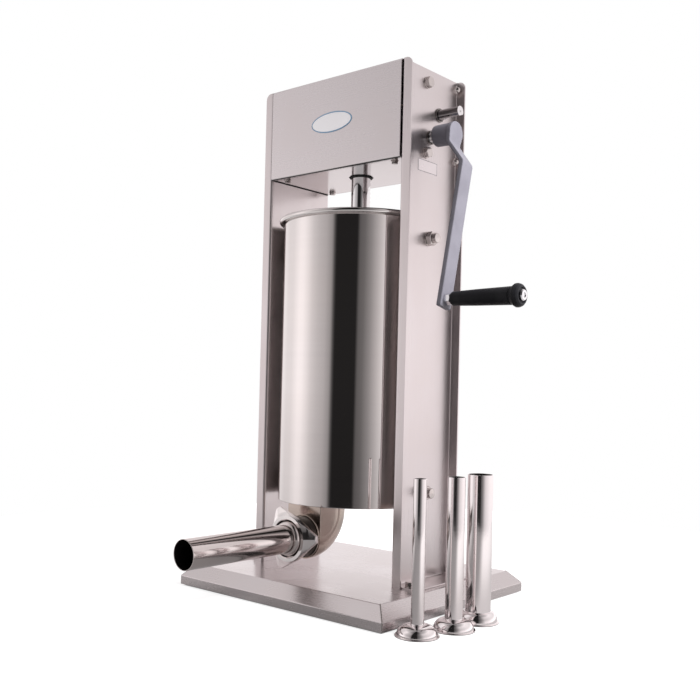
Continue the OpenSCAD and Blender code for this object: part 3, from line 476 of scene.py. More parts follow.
# %% [markdown]
# ## Two kinds of surface
# Nearly everything here is either bare metal or a coating. Two functions build them from the
# groups, so that one finish differs from the next only in its numbers. What is the same all
# over a surface is set on the shader's own sockets.

# %% Material makers
BUMP_DEPTH = 0.0002
# The bore mark's colour is painted shade, not a colour of the steel: the dark of a deep tube and
# of the floor under a flange.
BORE_SHADE_COLOUR, BORE_DULL = (0.10, 0.095, 0.09), 0.35          # an unpolished inside
# A shaft's turned end is lighter: partly its turned finish, partly a painted highlight.
TURNED_END_HIGHLIGHT_COLOUR, TURNED_DULL = (0.78, 0.76, 0.77), 0.2        # a shaft's turned end
SPECKS, COATED_CLOUDS, COAT_ROUGH = 0.15, 25.0, 0.12


def start_material(name):
    """A new material: itself, its nodes, its shader's inputs and its coordinates' outputs."""
    mat = bpy.data.materials.new(name)
    mat.use_nodes = True
    tree = mat.node_tree
    return mat, tree, tree.nodes["Principled BSDF"].inputs, add(tree, "TexCoord").outputs


def metal(name, colour, rough, stretch, grain, cloud, tone, size=12.0, bore=False, vary=0.35,
          end=None, across=None, aniso=0.0):
    """A metal whose roughness and tone follow its grain and its clouds: rough is the middle,
    grain the bump's strength, and tone how far the streaks darken the colour. With bore, the
    attribute of that name marks an inside and a flange's lower edge, which are dull and painted
    dark: painted shade. With end, given as an X in mm and a blend, the turned face beyond it is
    bright, partly from its lighter turned finish and partly as a painted highlight. With across,
    faces that look along X are brushed that other way."""
    mat, tree, shader, place = start_material(name)
    at = place["Object"]
    grained = add(tree, "Group", {"Stretch": stretch, "Vector": at}, node_tree=GRAIN).outputs
    clouds = add(tree, "Group", {"Size": size, "Vector": at}, node_tree=CLOUDS).outputs["Clouds"]
    streak, height = grained["Streak"], grained["Height"]
    if across:
        other = add(tree, "Group", {"Stretch": across, "Vector": at}, node_tree=GRAIN).outputs
        facing = add(tree, "SeparateXYZ", {0: place["Normal"]}).outputs["X"]
        turn = math_node(tree, "GREATER_THAN", math_node(tree, "ABSOLUTE", facing), 0.5)
        streak = number_mix(tree, turn, streak, other["Streak"])
        height = number_mix(tree, turn, height, other["Height"])
    dark = tuple(v * (1 - tone) for v in colour)
    tint = tuple(min(1.0, v * k) for v, k in zip(colour, (1.0, 0.985, 0.97)))
    base = colour_mix(tree, streak, dark, colour)
    base = colour_mix(tree, math_node(tree, "MULTIPLY", clouds, 0.6), base, tint)
    r = math_node(tree, "MULTIPLY_ADD", streak, rough * vary, rough * (1 - vary / 2))
    r = math_node(tree, "MULTIPLY_ADD", clouds, cloud, r)
    # Where the bore mark stands, the colour is painted shade and the finish is dull.
    if bore:
        inside = add(tree, "Attribute", attribute_name="bore").outputs["Fac"]
        base = colour_mix(tree, inside, base, BORE_SHADE_COLOUR)
        r = math_node(tree, "MULTIPLY_ADD", inside, BORE_DULL, r)
    # The turned end face gets the lighter colour: partly its finish, partly a painted highlight.
    if end:
        along = add(tree, "SeparateXYZ", {0: at}).outputs["X"]
        face = spread_node(tree, along, (end[0] - end[1]) * MM, end[0] * MM)
        base = colour_mix(tree, face, base, TURNED_END_HIGHLIGHT_COLOUR)
        r = math_node(tree, "MULTIPLY_ADD", face, TURNED_DULL, r)
    shader["Metallic"].default_value = 1.0
    shader["Anisotropic"].default_value = aniso
    feed(tree, shader["Base Color"], base)
    feed(tree, shader["Roughness"], r)
    feed(tree, shader["Normal"], bump_node(tree, height, grain, BUMP_DEPTH))
    return mat


def coated(name, colour, rough, coat, pebble, depth, cloud=0.08, tone=0.1, shine=0.5,
           metallic=0.0, deep=BUMP_DEPTH):
    """Paint, plastic or rubber: an even colour, clouded a little, over a fine pebble bump."""
    mat, tree, shader, place = start_material(name)
    at = place["Object"]
    handled = add(tree, "Group", {"Size": COATED_CLOUDS, "Vector": at},
                  node_tree=CLOUDS).outputs
    worn = tuple(min(1.0, v * (1 + tone) + 0.01) for v in colour)
    pale = tuple(min(1.0, v * 1.25 + 0.02) for v in colour)
    base = colour_mix(tree, handled["Clouds"], colour, worn)
    base = colour_mix(tree, math_node(tree, "MULTIPLY", handled["Marks"], SPECKS), base, pale)
    shader["Metallic"].default_value = metallic
    shader["Coat Weight"].default_value = coat
    shader["Coat Roughness"].default_value = COAT_ROUGH
    shader["Specular IOR Level"].default_value = shine
    feed(tree, shader["Base Color"], base)
    feed(tree, shader["Roughness"],
         math_node(tree, "MULTIPLY_ADD", handled["Clouds"], cloud, rough))
    fine = noise_node(tree, at, pebble, 2.0, 0.6)
    feed(tree, shader["Normal"], bump_node(tree, fine, depth, deep))
    return mat


# %% [markdown]
# ## Finishes
# The posts are brushed upwards, the head and base across, so each has its own stretch. The
# cylinder, nut and nozzles are mirror polished, with faint rings from the polishing wheel. The
# crank is cast and painted grey, the grip is black plastic with a soft sheen.

# %% Make the metals
# name, colour, roughness, stretch of the grain, bump, clouds, tone, size of the clouds
POST_STEEL = metal("brushed post steel", (0.70, 0.645, 0.65), 0.29, (1500, 1500, 9), 0.02, 0.04,
                   0.04, vary=0.2, aniso=0.6)
HEAD_STEEL = metal("brushed head steel", (0.66, 0.62, 0.63), 0.27, (9, 1500, 1500), 0.02, 0.03,
                   0.03, vary=0.15)
BASE_STEEL = metal("brushed base steel", (0.68, 0.635, 0.64), 0.25, (9, 1500, 1500), 0.02, 0.04,
                   0.02, vary=0.12, across=(1500, 9, 1500))
PLATE_STEEL = metal("smooth rolled steel", (0.72, 0.67, 0.675), 0.14, (30, 200, 200), 0.05, 0.06,
                    0.06)
MIRROR_STEEL = metal("polished cylinder steel", (0.76, 0.72, 0.71), 0.04, (14, 14, 700), 0.012,
                     0.02, 0.03, 8.0)
# Both nozzle finishes take the painted shade of the bore mark.
TUBE_STEEL = metal("satin nozzle steel", (0.92, 0.87, 0.875), 0.07, (60, 60, 400), 0.03, 0.04,
                   0.03, 20.0, bore=True)
NOZZLE_STEEL = metal("polished nozzle steel", (0.70, 0.64, 0.63), 0.06, (60, 400, 60), 0.03,
                     0.03, 0.03, 20.0, bore=True)
NUT_STEEL = metal("polished nut steel", (0.93, 0.89, 0.885), 0.08, (120, 120, 120), 0.05, 0.05,
                  0.04, 30.0)
CAST_STEEL = metal("satin elbow steel", (0.53, 0.45, 0.40), 0.13, (160, 160, 160), 0.08, 0.06,
                   0.08, 25.0)
THREAD_STEEL = metal("dark thread steel", (0.20, 0.175, 0.16), 0.26, (200, 200, 200), 0.10, 0.10,
                     0.10, 40.0)
BOLT_STEEL = metal("bright bolt steel", (0.60, 0.55, 0.54), 0.12, (700, 700, 700), 0.12, 0.10,
                   0.08, 60.0)
CHROME = metal("rod chrome", (0.74, 0.73, 0.74), 0.05, (20, 20, 900), 0.02, 0.03, 0.03, 30.0)
GEAR_STEEL = metal("machined gear steel", (0.34, 0.33, 0.34), 0.34, (60, 900, 900), 0.15, 0.12,
                   0.12, 40.0)
SPRING_STEEL = metal("oiled spring steel", (0.22, 0.22, 0.24), 0.30, (500, 500, 500), 0.1, 0.1,
                     0.1, 60.0)
ZINC = metal("bright zinc", (0.86, 0.86, 0.885), 0.16, (500, 500, 500), 0.05, 0.06, 0.05, 60.0)
BUSH_STEEL = metal("dark bush steel", (0.20, 0.185, 0.18), 0.16, (500, 500, 500), 0.06, 0.08,
                   0.08, 60.0)
BRONZE = metal("turned bronze", (0.58, 0.42, 0.22), 0.30, (700, 700, 700), 0.12, 0.10, 0.10, 60.0)
# The fast shaft's colour is painted dark, standing for the dark studio that it reflects. Its end
# carries a painted highlight.
SHAFT_STEEL_PAINTED_DARK = metal("shaft steel painted dark as its reflection", (0.33, 0.315, 0.32), 0.05, (900, 60, 60), 0.02,
                    0.03, 0.05, 30.0, end=(box_mm("fast_shaft")[1][0] - 0.6, 0.2))

# %% [markdown]
# Paint, plastic and rubber reflect little, so their colour does the work. Each has a fine
# pebble, since nothing moulded or painted is as smooth as polished steel. The badge and the
# label keep their place and their material, and are left bare.

# %% Make the paints, plastics and rubbers
# name, colour, roughness, coat, fineness of the pebble, bump
CRANK_PAINT = coated("grey crank enamel", (0.145, 0.14, 0.165), 0.45, 0.0, 900.0, 0.35, 0.06,
                     shine=0.25, deep=0.0003)
BLACK_PLASTIC = coated("black grip plastic", (0.008, 0.008, 0.010), 0.34, 0.0, 1100.0, 0.12,
                       shine=0.1)
RUBBER = coated("black rubber", (0.02, 0.02, 0.02), 0.62, 0.0, 1500.0, 0.4)
SILICONE = coated("white silicone", (0.80, 0.78, 0.72), 0.45, 0.0, 900.0, 0.2)
BADGE = coated("pale badge enamel", (0.93, 0.93, 0.95), 0.35, 0.1, 500.0, 0.05, 0.05, 0.04,
               metallic=0.7)
BADGE_RIM = coated("blue badge rim", (0.22, 0.38, 0.55), 0.40, 0.1, 500.0, 0.05, 0.05, 0.04,
                   metallic=0.4)
LABEL_EDGE = coated("grey label edge", (0.12, 0.115, 0.12), 0.5, 0.0, 500.0, 0.05, 0.05, 0.04)
LABEL = coated("bare label foil", (0.69, 0.64, 0.65), 0.27, 0.0, 500.0, 0.05, 0.05, 0.04,
               metallic=1.0)

# %% [markdown]
# The parts inside the head and the piston keep their CAD shapes, which are right as they are,
# and only need a finish in their material slots. A table of finishes and names is easier to
# check than a line for each.

# %% Give the CAD nodes that stay their finishes
CAD_FINISH = {
    HEAD_STEEL: "rear_cover top_channel head_brackets",
    PLATE_STEEL: "head_plate",
    MIRROR_STEEL: "cylinder_floor piston_plate",
    CAST_STEEL: "cylinder_hooks valve_housing valve_poppet",
    BOLT_STEEL: "foot_studs base_nuts head_nuts side_nuts cover_screws cover_studs plate_screws "
                "piston_screw",
    CHROME: "piston_rod slow_shaft",
    SHAFT_STEEL_PAINTED_DARK: "fast_shaft",
    GEAR_STEEL: "gear_plates bearing_plate slow_pinion fast_gear rack_pinion",
    SPRING_STEEL: "slow_ring fast_rings",
    BRONZE: "rod_guides",
    RUBBER: "rod_seal",
    SILICONE: "piston_gasket",
}
for finish, names in CAD_FINISH.items():
    for node_name in names.split():
        ob = nodes[node_name]
        if not ob.material_slots:
            ob.data.materials.append(finish)
        for held in ob.material_slots:
            held.material = finish
print("finishes:", len(bpy.data.materials))

# %% [markdown]
# ## Base
# The base is one sheet, bent down twice on each side, with the corners welded and ground. Its
# section is a short profile, so rings of that profile are laid round a rectangle: each profile
# point (inset, height) becomes one rectangular ring with small corners.

# %% Make the base sheet
SIDES = (-1, 1)
CORNERS = [(sx, sy) for sx in (1, -1) for sy in (1, -1)]
SKIRT, SLOPE, SHEET = 12.0, 16.0, 2.0     # skirt's height, slope's width, sheet's thickness
PLATEAU = 70                              # the rings end this far in, and one face fills the rest
base_low, base_high = box_mm("base_tray")
skirt_top = base_low[2] + SKIRT
under_top = base_high[2] - SHEET


def rect_ring(inset, height, corner=1.6, steps=4):
    """A rectangle inset from the skirt's outside, with its corners rounded."""
    flat = braced(rounded(box_line(base_high[0] - inset, base_high[1] - inset), corner, steps))
    return np.column_stack([flat, np.full(len(flat), height)])


outside = braced(rounded([(0, base_low[2]), (0, skirt_top), (SLOPE, base_high[2]),
                          (PLATEAU, base_high[2])], [0, 2.2, 2.2, 0], 5, closed=False),
                 closed=False)
inside = rounded([(PLATEAU, under_top), (SLOPE + 0.7, under_top), (SHEET, skirt_top - 0.7),
                  (SHEET, base_low[2])], [0, 1, 1, 0], 3, closed=False)
tray_rings = [rect_ring(d, z) for d, z in np.concatenate([outside, inside])]
k, n, m = len(tray_rings), len(tray_rings[0]), len(outside)
tray_faces = [list(q) for q in grid_quads(m, n, False, True)]
tray_faces += [list(q + m * n) for q in grid_quads(len(inside), n, False, True)]
tray_faces.append([(m - 1) * n + i for i in range(n)])
tray_faces.append([m * n + i for i in range(n)][::-1])
tray_faces += [[i, (i + 1) % n, (k - 1) * n + (i + 1) % n, (k - 1) * n + i] for i in range(n)]
piece("base_sheet", [(np.concatenate(tray_rings), tray_faces)], "frame", BASE_STEEL,
      ["base_tray"], crease=25)
print("base sheet:", made["base_sheet"], "faces")


# %% [markdown]
# The base's corners are welded and ground, which leaves a thin dull line. A texture could draw
# it, but a small ring carried down the corner catches the light as a bead does. The feet are
# round rubber mouldings, so a lathe makes them.

# %% Make the welded corners and the feet
def corner_seam(sx, sy, bead=0.55):
    """A ground weld at one corner: a small ring carried along the corner's outside profile."""
    t = full_turn(8)
    keep = outside[outside[:, 0] <= SLOPE + 1.5]
    x = sx * (base_high[0] - keep[:, 0] - 0.75)
    y = sy * (base_high[1] - keep[:, 0] - 0.75)
    middle = np.column_stack([x, y, keep[:, 1] - 0.1])
    along = np.gradient(middle, axis=0)
    along /= np.linalg.norm(along, axis=1)[:, None]
    side = np.cross(along, (sx, sy, 1.0))
    side /= np.linalg.norm(side, axis=1)[:, None]
    out_way = np.cross(side, along)
    return carried(middle[:, None] + bead * np.cos(t)[None, :, None] * side[:, None]
                   + bead * np.sin(t)[None, :, None] * out_way[:, None])


piece("base_corner_seams", [corner_seam(sx, sy) for sx in SIDES for sy in SIDES], "frame",
      THREAD_STEEL)

FOOT_R = 17.0
foot_x, foot_y = box_mm("base_feet")[1][:2] - FOOT_R
foot_profile = rounded([(0, 0), (11, 0), (12, 1.2), (FOOT_R - 1, 1.2), (FOOT_R, 2.5),
                        (FOOT_R - 0.4, 8), (FOOT_R - 2.4, 9), (FOOT_R - 2.4, 10.5),
                        (FOOT_R - 1, 11.5), (FOOT_R - 2.5, 28.5), (0, 28.5)],
                       [0, 0.5, 0.5, 1, 1.5, 1, 0.6, 0.6, 1, 0.5, 0], 3, closed=False)
feet = [lathe(foot_profile, (sx * foot_x, sy * foot_y, 0), Z, 64, closed=False)
        for sx in SIDES for sy in SIDES]
piece("rubber_feet", feet, "frame", RUBBER, ["base_feet"])
print("feet at", round(float(foot_x), 1), "and", round(float(foot_y), 1), "mm")

# %% [markdown]
# ## Posts
# Each post is a channel: a web with a flange folded outwards at the front and the back, and a
# foot folded out at the bottom. The section's middle line gets its bends, both faces are moved
# half a sheet off it, and the height drops round the corner at each flange's top.

# %% Make the posts
POST_T = 2.2
FLANGE_W, FLANGE_TOP_R = 15.3, 9.0
PROUD = 0.03          # the fold stands this far off the web, so that no two faces coincide
post_low, post_high = box_mm("right_post")
web_in, half_d, post_top = post_low[0], post_high[1], post_high[2]
web_out = web_in + POST_T
round_from = web_in + FLANGE_W - FLANGE_TOP_R
edge_steps = web_in + FLANGE_W - FLANGE_TOP_R * (1 - np.sin(np.linspace(0, np.pi / 2, 9)))
mid = POST_T / 2
bend = rounded([(round_from - 0.5, -half_d + mid), (web_in + mid, -half_d + mid),
                (web_in + mid, half_d - mid), (round_from - 0.5, half_d - mid)],
               [0, 2.4, 2.4, 0], 7, closed=False)
front_edge = np.column_stack([edge_steps[::-1], np.full(9, -half_d + mid)])
back_edge = np.column_stack([edge_steps, np.full(9, half_d - mid)])
post_line = braced(np.concatenate([front_edge, bend, back_edge]), closed=False)
beyond = np.clip(post_line[:, 0] - round_from, 0, FLANGE_TOP_R)
post_heights = post_top - FLANGE_TOP_R + np.sqrt(FLANGE_TOP_R ** 2 - beyond ** 2)
foot_top = post_low[2] + POST_T
fold = braced(rounded([(web_in + 0.8, post_low[2]), (post_high[0], post_low[2]),
                       (post_high[0], foot_top), (web_out + PROUD, foot_top),
                       (web_out + PROUD, foot_top + 3.4), (web_in + 0.8, foot_top + 4.2)],
                      [0, 0.6, 0.6, 3.0, 0.1, 0], 6))


def foot_fold(side):
    """The folded foot: a closed section in X and Z carried along Y, between the flanges."""
    reach = half_d - POST_T - 0.3
    return carried([np.column_stack([fold[:, 0] * side, np.full(len(fold), y), fold[:, 1]])
                    for y in (-reach, reach)])


posts = {}
for side, name in ((1, "right"), (-1, "left")):
    channel = bent_sheet(post_line, POST_T, post_low[2], post_heights,
                         lambda a, b, h, s=side: np.stack([a * s, b, h], -1))
    posts[name] = piece(name + "_post_sheet", [channel, foot_fold(side)], "frame", POST_STEEL,
                        [name + "_post"], crease=25, edge=0.35)
print("posts:", round(float(post_top), 1), "mm high")

# %% [markdown]
# ## Head
# The front cover is folded from one sheet: a hem under the front panel, the panel, the top and
# a lip at the back. The same bent-sheet helper carries that section from side to side. The oval
# badge in its middle stays bare, and so does the label on the right post.

# %% Make the front cover
COVER_T = 1.5
COVER_OVER = 0.6      # the cover reaches this far over the solid on each side
ROD_HOLE_R = 17.0
cover_low, cover_high = box_mm("front_cover")
y0, y1 = cover_low[1] + COVER_T / 2, cover_high[1] - COVER_T / 2
z0, z1 = cover_low[2] + COVER_T / 2, cover_high[2] - COVER_T / 2
cover_line = braced(rounded([(-half_d + 5.5, z0), (y0, z0), (y0, z1), (y1, z1),
                             (y1, post_top - 16)], [0, 1.6, 2.2, 2.2, 0], 6, closed=False),
                    closed=False)
cover = bent_sheet(cover_line, COVER_T, cover_low[0] - COVER_OVER, cover_high[0] + COVER_OVER,
                   lambda a, b, h: np.stack([h, a, b], -1))
lips = [bent_sheet([(x, cover_low[1] + 0.9), (x, cover_low[1] + 14.0)], COVER_T - 0.1,
                   cover_low[2] + 5, cover_high[2] - 0.8,
                   lambda a, b, h: np.stack([a, b, h], -1))
        for x in (side * (cover_high[0] - COVER_T / 2) for side in SIDES)]
front = piece("front_cover_sheet", [cover] + lips, "frame", HEAD_STEEL, ["front_cover"],
              crease=25)
cut(front, [lathe([(0, -6), (ROD_HOLE_R, -6), (ROD_HOLE_R, 6), (0, 6)],
                  (0, 0, cover_high[2] - 1), Z, 96, closed=False)])
finish_piece(front, "frame", HEAD_STEEL, ["front_cover"], 25, 0.3)
print("front cover:", made["front_cover_sheet"], "faces")

# %% [markdown]
# The badge is a thin oval plate with a raised rim. Rings of an ellipse, each drawn in and
# lifted, give the domed field and the rim. A ray through the badge's image point finds its
# place on the finished cover, so it sits where the photograph shows it.

# %% Make the bare badge
BADGE_POINT = (331.5, 122.0)
BADGE_HALF = np.array([37.5, 14.3])
BADGE_BORDER = 1.5


def oval_plate(centre, facing, half, steps):
    """An oval plate: rings of an ellipse shrunk towards its middle, each lifted off the surface
    as steps of (shrink, lift) in millimetres say."""
    w = np.asarray(facing, float)
    u = np.cross((0, 0, 1.0), w)
    v = np.cross(w, u)
    t = full_turn(96)
    return carried([np.asarray(centre) + (half[0] - s) * np.cos(t)[:, None] * u
                    + (half[1] - s) * np.sin(t)[:, None] * v + h * w for s, h in steps])


badge_at, badge_way = placed(front, *BADGE_POINT)
badge_way = np.round(badge_way)
rim_steps = [(0, -0.2), (0, 0.5), (0.3, 0.75), (1.1, 0.75), (1.5, 0.4), (8, 0.4)]
field_steps = [(0, 0.3), (0.2, 0.55), (4, 0.62), (9, 0.66)]
piece("bare_badge_rim", [oval_plate(badge_at, badge_way, BADGE_HALF, rim_steps)], "frame",
      BADGE_RIM)
piece("bare_badge_field", [oval_plate(badge_at, badge_way, BADGE_HALF - BADGE_BORDER,
                                      field_steps)], "frame", BADGE)
print("badge at", badge_at.round(1))

# %% [markdown]
# The label on the right post is a thin foil with a fine printed border. It is placed by its
# image point too, and the border is a frame of its own. Its crease angle is small: smooth
# shading across a large flat face would bend what the foil reflects.

# %% Make the bare label
LABEL_POINT = (427.6, 167.0)
LABEL_Y, LABEL_Z, LABEL_T = 22.5, 9.0, 0.3
label_at, _ = placed(posts["right"], *LABEL_POINT)


def on_label(flat, lift):
    """A flat line of (y, z) points about the label's middle, lifted off the post."""
    return np.column_stack([np.full(len(flat), label_at[0] + lift), label_at[1] + flat[:, 0],
                            label_at[2] + flat[:, 1]])


plate_line = rounded(box_line(LABEL_Y, LABEL_Z), 1.5, 4)
plate_rings = [on_label(plate_line * (1 - s / LABEL_Y, 1 - s / LABEL_Z), h)
               for s, h in ((0, -0.1), (0, LABEL_T * 0.6), (0.25, LABEL_T))]
piece("bare_label", [carried(plate_rings)], "frame", LABEL, crease=8)
edge_rings = [on_label(rounded(box_line(LABEL_Y - s, LABEL_Z - s), 0.6, 3), h)
              for s, h in ((0.9, 0.1), (0.9, 0.38), (1.5, 0.38), (1.5, 0.1))]
piece("bare_label_edge", [ring_form(edge_rings)], "frame", LABEL_EDGE, crease=30)
print("label at", label_at.round(1))

# %% [markdown]
# A dark line of shade runs where the cover and the posts meet under the head. Thin black strips
# paint that shadow: as shapes they stay dark from every side.

# %% Make the painted shadow strips under the head
SHADOW_STRIP_DROP = 0.25
shadow_section = rounded(box_line(0.5, 0.45), 0.15, 3)


def dark_strip(start, end):
    """A thin dark strip that paints a shadow line: the small rounded section carried from start to
    end.
    """
    start, end = np.asarray(start, float), np.asarray(end, float)
    way = (end - start) / np.linalg.norm(end - start)
    side = np.cross(way, (0, 0, 1.0))
    return carried([at + shadow_section[:, :1] * side + shadow_section[:, 1:] * np.array([0, 0, 1.0])
                    for at in (start, end)])


shadow_strip_y, shadow_strip_z = cover_low[1] + 1.3, cover_low[2] - SHADOW_STRIP_DROP
strips = [dark_strip((cover_low[0] + 0.3, shadow_strip_y, shadow_strip_z), (cover_high[0] - 0.3, shadow_strip_y, shadow_strip_z))]
strips += [dark_strip((x, -half_d + 3, shadow_strip_z), (x, half_d - 3, shadow_strip_z))
           for x in (-web_in + 0.55, web_in - 0.55)]
piece("head_painted_shadow_strips", strips, "frame", RUBBER)

# %% [markdown]
# ## Bolts and nuts
# A hexagon head is a prism whose top corners a cone cuts away, which gives the six curved
# chamfers. So its surface is worked out in polar form: the hexagon's radius at each angle, and
# the cone's height over it.

# %% Helpers for fasteners
M5_R, M8_R, M10_R = 2.5, 4.0, 5.0
FLATS = {"M5": 8.0, "M6": 10, "M8": 13, "M10": 17}      # width over the flats
M8_WASHER, M8_HOLE, M10_WASHER, WASHER_T = 8, 4.15, 10, 1.6
M8_HEAD, M5_HEAD, M10_NUT = 5.3, 3.5, 8                 # heights
CHAMFER = math.radians(30)
FLAT_SHARE = 0.95     # the flat circle on top, as a share of the width over the flats


def hex_radius(across, angle):
    """Distance from the middle to a hexagon's side: half the flats over the cosine of the angle
    to the nearest flat's middle."""
    return across / 2 / np.cos((angle + np.pi / 6) % (np.pi / 3) - np.pi / 6)


def hex_form(at, axis, across, height, hole=0.0, turn=0.0, both=False):
    """A chamfered hexagon head or nut standing on at. hole is the radius of its opening, and
    both says that the underside is chamfered too."""
    u, v, w = axes_of(axis)
    a = full_turn(96)
    r = hex_radius(across, a + turn)
    flat_r = np.full_like(a, across / 2 * FLAT_SHARE)
    inner, zero = np.full_like(a, hole), np.zeros_like(a)
    drop = (r - flat_r) * math.tan(CHAMFER)
    rows = [(inner, zero)]
    rows += [(flat_r, zero), (r, drop)] if both else [(r - 0.2, zero), (r, zero + 0.2)]
    rows += [(r, height - drop), (r - 0.15, height - drop + 0.1), (flat_r, zero + height)]
    rows += ([(inner + 0.7, zero + height), (inner, zero + height - 0.6)] if hole
             else [(inner, zero + height)])
    pts = np.array([np.asarray(at) + h[:, None] * w + rr[:, None] * spokes(a, u, v)
                    for rr, h in rows])
    return pts.reshape(-1, 3), grid_quads(len(rows), len(a), bool(hole), True)


def washer(at, axis, outer, inner, thick=WASHER_T):
    """A flat ring with softened edges."""
    prof = rounded([(inner, 0), (outer, 0), (outer, thick), (inner, thick)], 0.35, 4)
    return lathe(prof, at, axis, 72)


def shank(at, axis, length):
    """The plain shank of an M8 bolt behind its head, bevelled at its far end."""
    return lathe([(0, -length), (M8_R - 0.4, -length), (M8_R, 0.5 - length), (M8_R, 0), (0, 0)],
                 at, axis, 48, closed=False)


def fasteners(name, parts, node, crease=20.0):
    """One set of fasteners in bright steel, standing for its CAD node."""
    piece(name, parts, "frame", BOLT_STEEL, [node], crease=crease)


# %% [markdown]
# Nobody tightens every bolt to the same angle, so each head has its own turn. The places come
# from the CAD nodes' boxes, and loops over the corners and the sides make each set.

# %% Make the bolts of the base, the head and the sides
wash_low, wash_high = box_mm("base_washers")
heads, rings = [], []
for i, (sx, sy) in enumerate(CORNERS):
    x, y = sx * (wash_high[0] - M8_WASHER), sy * (wash_high[1] - M8_WASHER)
    top = (x, y, wash_high[2])
    heads += [hex_form(top, Z, FLATS["M8"], M8_HEAD, turn=0.3 + 0.7 * i), shank(top, Z, 18)]
    rings.append(washer((x, y, wash_low[2]), Z, M8_WASHER, M8_HOLE))
fasteners("base_bolt_heads", heads, "base_bolts")
fasteners("base_bolt_washers", rings, "base_washers", 32.0)

head_z = box_mm("head_plate")[0][2]
heads = []
for i, (sx, sy) in enumerate(CORNERS):
    at = np.array([sx * (web_in - 20), sy * (half_d - 13.5), head_z])
    heads += [washer(at, (0, 0, -1), 5.4, 2.55, 0.9),
              hex_form(at - (0, 0, 0.9), (0, 0, -1), FLATS["M5"], M5_HEAD, turn=0.2 + 0.5 * i),
              lathe([(0, -1), (M5_R, -1), (M5_R, 15.5), (M5_R - 0.3, 16), (0, 16)], at, Z, 48,
                    closed=False)]
fasteners("head_plate_bolts", heads, "head_bolts")

side_low, side_high = box_mm("side_washers")
heads, rings = [], []
for sx in SIDES:
    for i, z in enumerate((side_low[2] + M8_WASHER, side_high[2] - M8_WASHER)):
        at = np.array([sx * web_out, side_low[1] + M8_WASHER, z])
        head_at = at + (sx * WASHER_T, 0, 0)
        heads += [hex_form(head_at, (sx, 0, 0), FLATS["M8"], M8_HEAD, turn=0.35 + 0.3 * i),
                  shank(head_at, (sx, 0, 0), 16)]
        rings.append(washer(at, (sx, 0, 0), M8_WASHER, M8_HOLE))
fasteners("side_bolt_heads", heads, "side_bolts")
fasteners("side_bolt_washers", rings, "side_washers", 32.0)
print("bolts made;", len(made), "pieces so far")

# %% [markdown]
# Small dome nuts close the ends of the cover's studs. Each is a hexagon with a hemisphere on
# it: a quarter circle turned about the axis, which stays round at any size.

# %% Make the dome nuts
DOME_R, DOME_FROM = 4.4, 4.9
dome_low, dome_high = box_mm("cover_dome_nuts")
a = np.linspace(0, np.pi / 2, 9)
dome = np.stack([DOME_R * np.cos(a), DOME_FROM + DOME_R * np.sin(a)], 1)
cap = np.concatenate([[(3.05, 3.0), (DOME_R, 3.0)], dome, [(0, 7.0), (3.05, 7.0)]])
domes = []
for sx in SIDES:
    for z in (dome_low[2] + 5.77, dome_high[2] - 5.77):
        at = (sx * web_out, (dome_low[1] + dome_high[1]) / 2, z)
        domes += [hex_form(at, (sx, 0, 0), FLATS["M6"], 5.0, hole=3.0, turn=0.5),
                  lathe(cap, at, (sx, 0, 0), 48)]
fasteners("dome_nuts", domes, "cover_dome_nuts")

# %% [markdown]
# The cylinder hangs on four pins. Each has a thick washer, a large nut, a short stretch of
# thread and a turned end, and a collar inside the post.

# %% Make the support pins
M10_PITCH = 1.5


def threaded_rod(at, axis, radius, pitch, start, end, dome):
    """A rod with a helical groove: the radius follows a triangle wave of height over pitch minus
    turn, and fades out before both ends. The outer end is a dome."""
    u, v, w = axes_of(axis)
    t = full_turn(48)
    h = np.linspace(start, end, 90)
    phase = (h[:, None] / pitch - t[None] / (2 * np.pi)) % 1
    fade = np.clip(np.minimum(h - start, end - h) / 1.0, 0, 1)[:, None]
    r = radius - 0.5 * fade * (1 - np.abs(2 * phase - 1))
    a = np.linspace(0, np.pi / 2, 8)[1:]
    rd = np.broadcast_to((radius * np.cos(a))[:, None], (len(a), len(t)))
    r = np.concatenate([np.zeros((1, len(t))), r, rd])
    h = np.concatenate([[start], h, end + dome * np.sin(a)])
    pts = np.asarray(at) + h[:, None, None] * w + r[..., None] * spokes(t, u, v)
    return pts.reshape(-1, 3), grid_quads(len(h), len(t), False, True)


pin_end = rounded([(0, 11.9), (6.9, 11.9), (6.9, 18.0), (0, 18.6)], [0, 0.4, 1.1, 0], 5,
                  closed=False)
pin_collar = rounded([(0, -9.0), (6, -9.0), (6, 0), (4.95, 0), (4.95, 2.5), (0, 2.5)],
                     [0, 0.6, 0.3, 0, 0, 0], 3, closed=False)
pin_wash_low, pin_wash_high = box_mm("pin_washers")
pin_nuts, rings, pins = [], [], []
for sx in SIDES:
    way = (sx, 0, 0)
    for i, z in enumerate((pin_wash_low[2] + M10_WASHER, pin_wash_high[2] - M10_WASHER)):
        at, root = np.array([sx * web_out, 0, z]), (sx * web_in, 0, z)
        rings.append(washer(at, way, M10_WASHER, M10_R))
        pin_nuts.append(hex_form(at + (sx * WASHER_T, 0, 0), way, FLATS["M10"], M10_NUT,
                                 hole=M10_R, turn=0.25 + 0.4 * i, both=True))
        pins += [threaded_rod(root, way, M10_R, M10_PITCH, 2.0, 12.4, 0.4),
                 lathe(pin_end, root, way, 64, closed=False),
                 lathe(pin_collar, root, way, 64, closed=False)]
fasteners("pin_hex_nuts", pin_nuts, "pin_nuts")
fasteners("pin_nut_washers", rings, "pin_washers", 32.0)
fasteners("pin_ends", pins, "support_pins", 32.0)

# %% [markdown]
# Bushes carry both shafts, in the right post and in the gear plates. Each is a short tube with
# a flange, so one profile and a lathe make them all, from the CAD shafts' own middles.

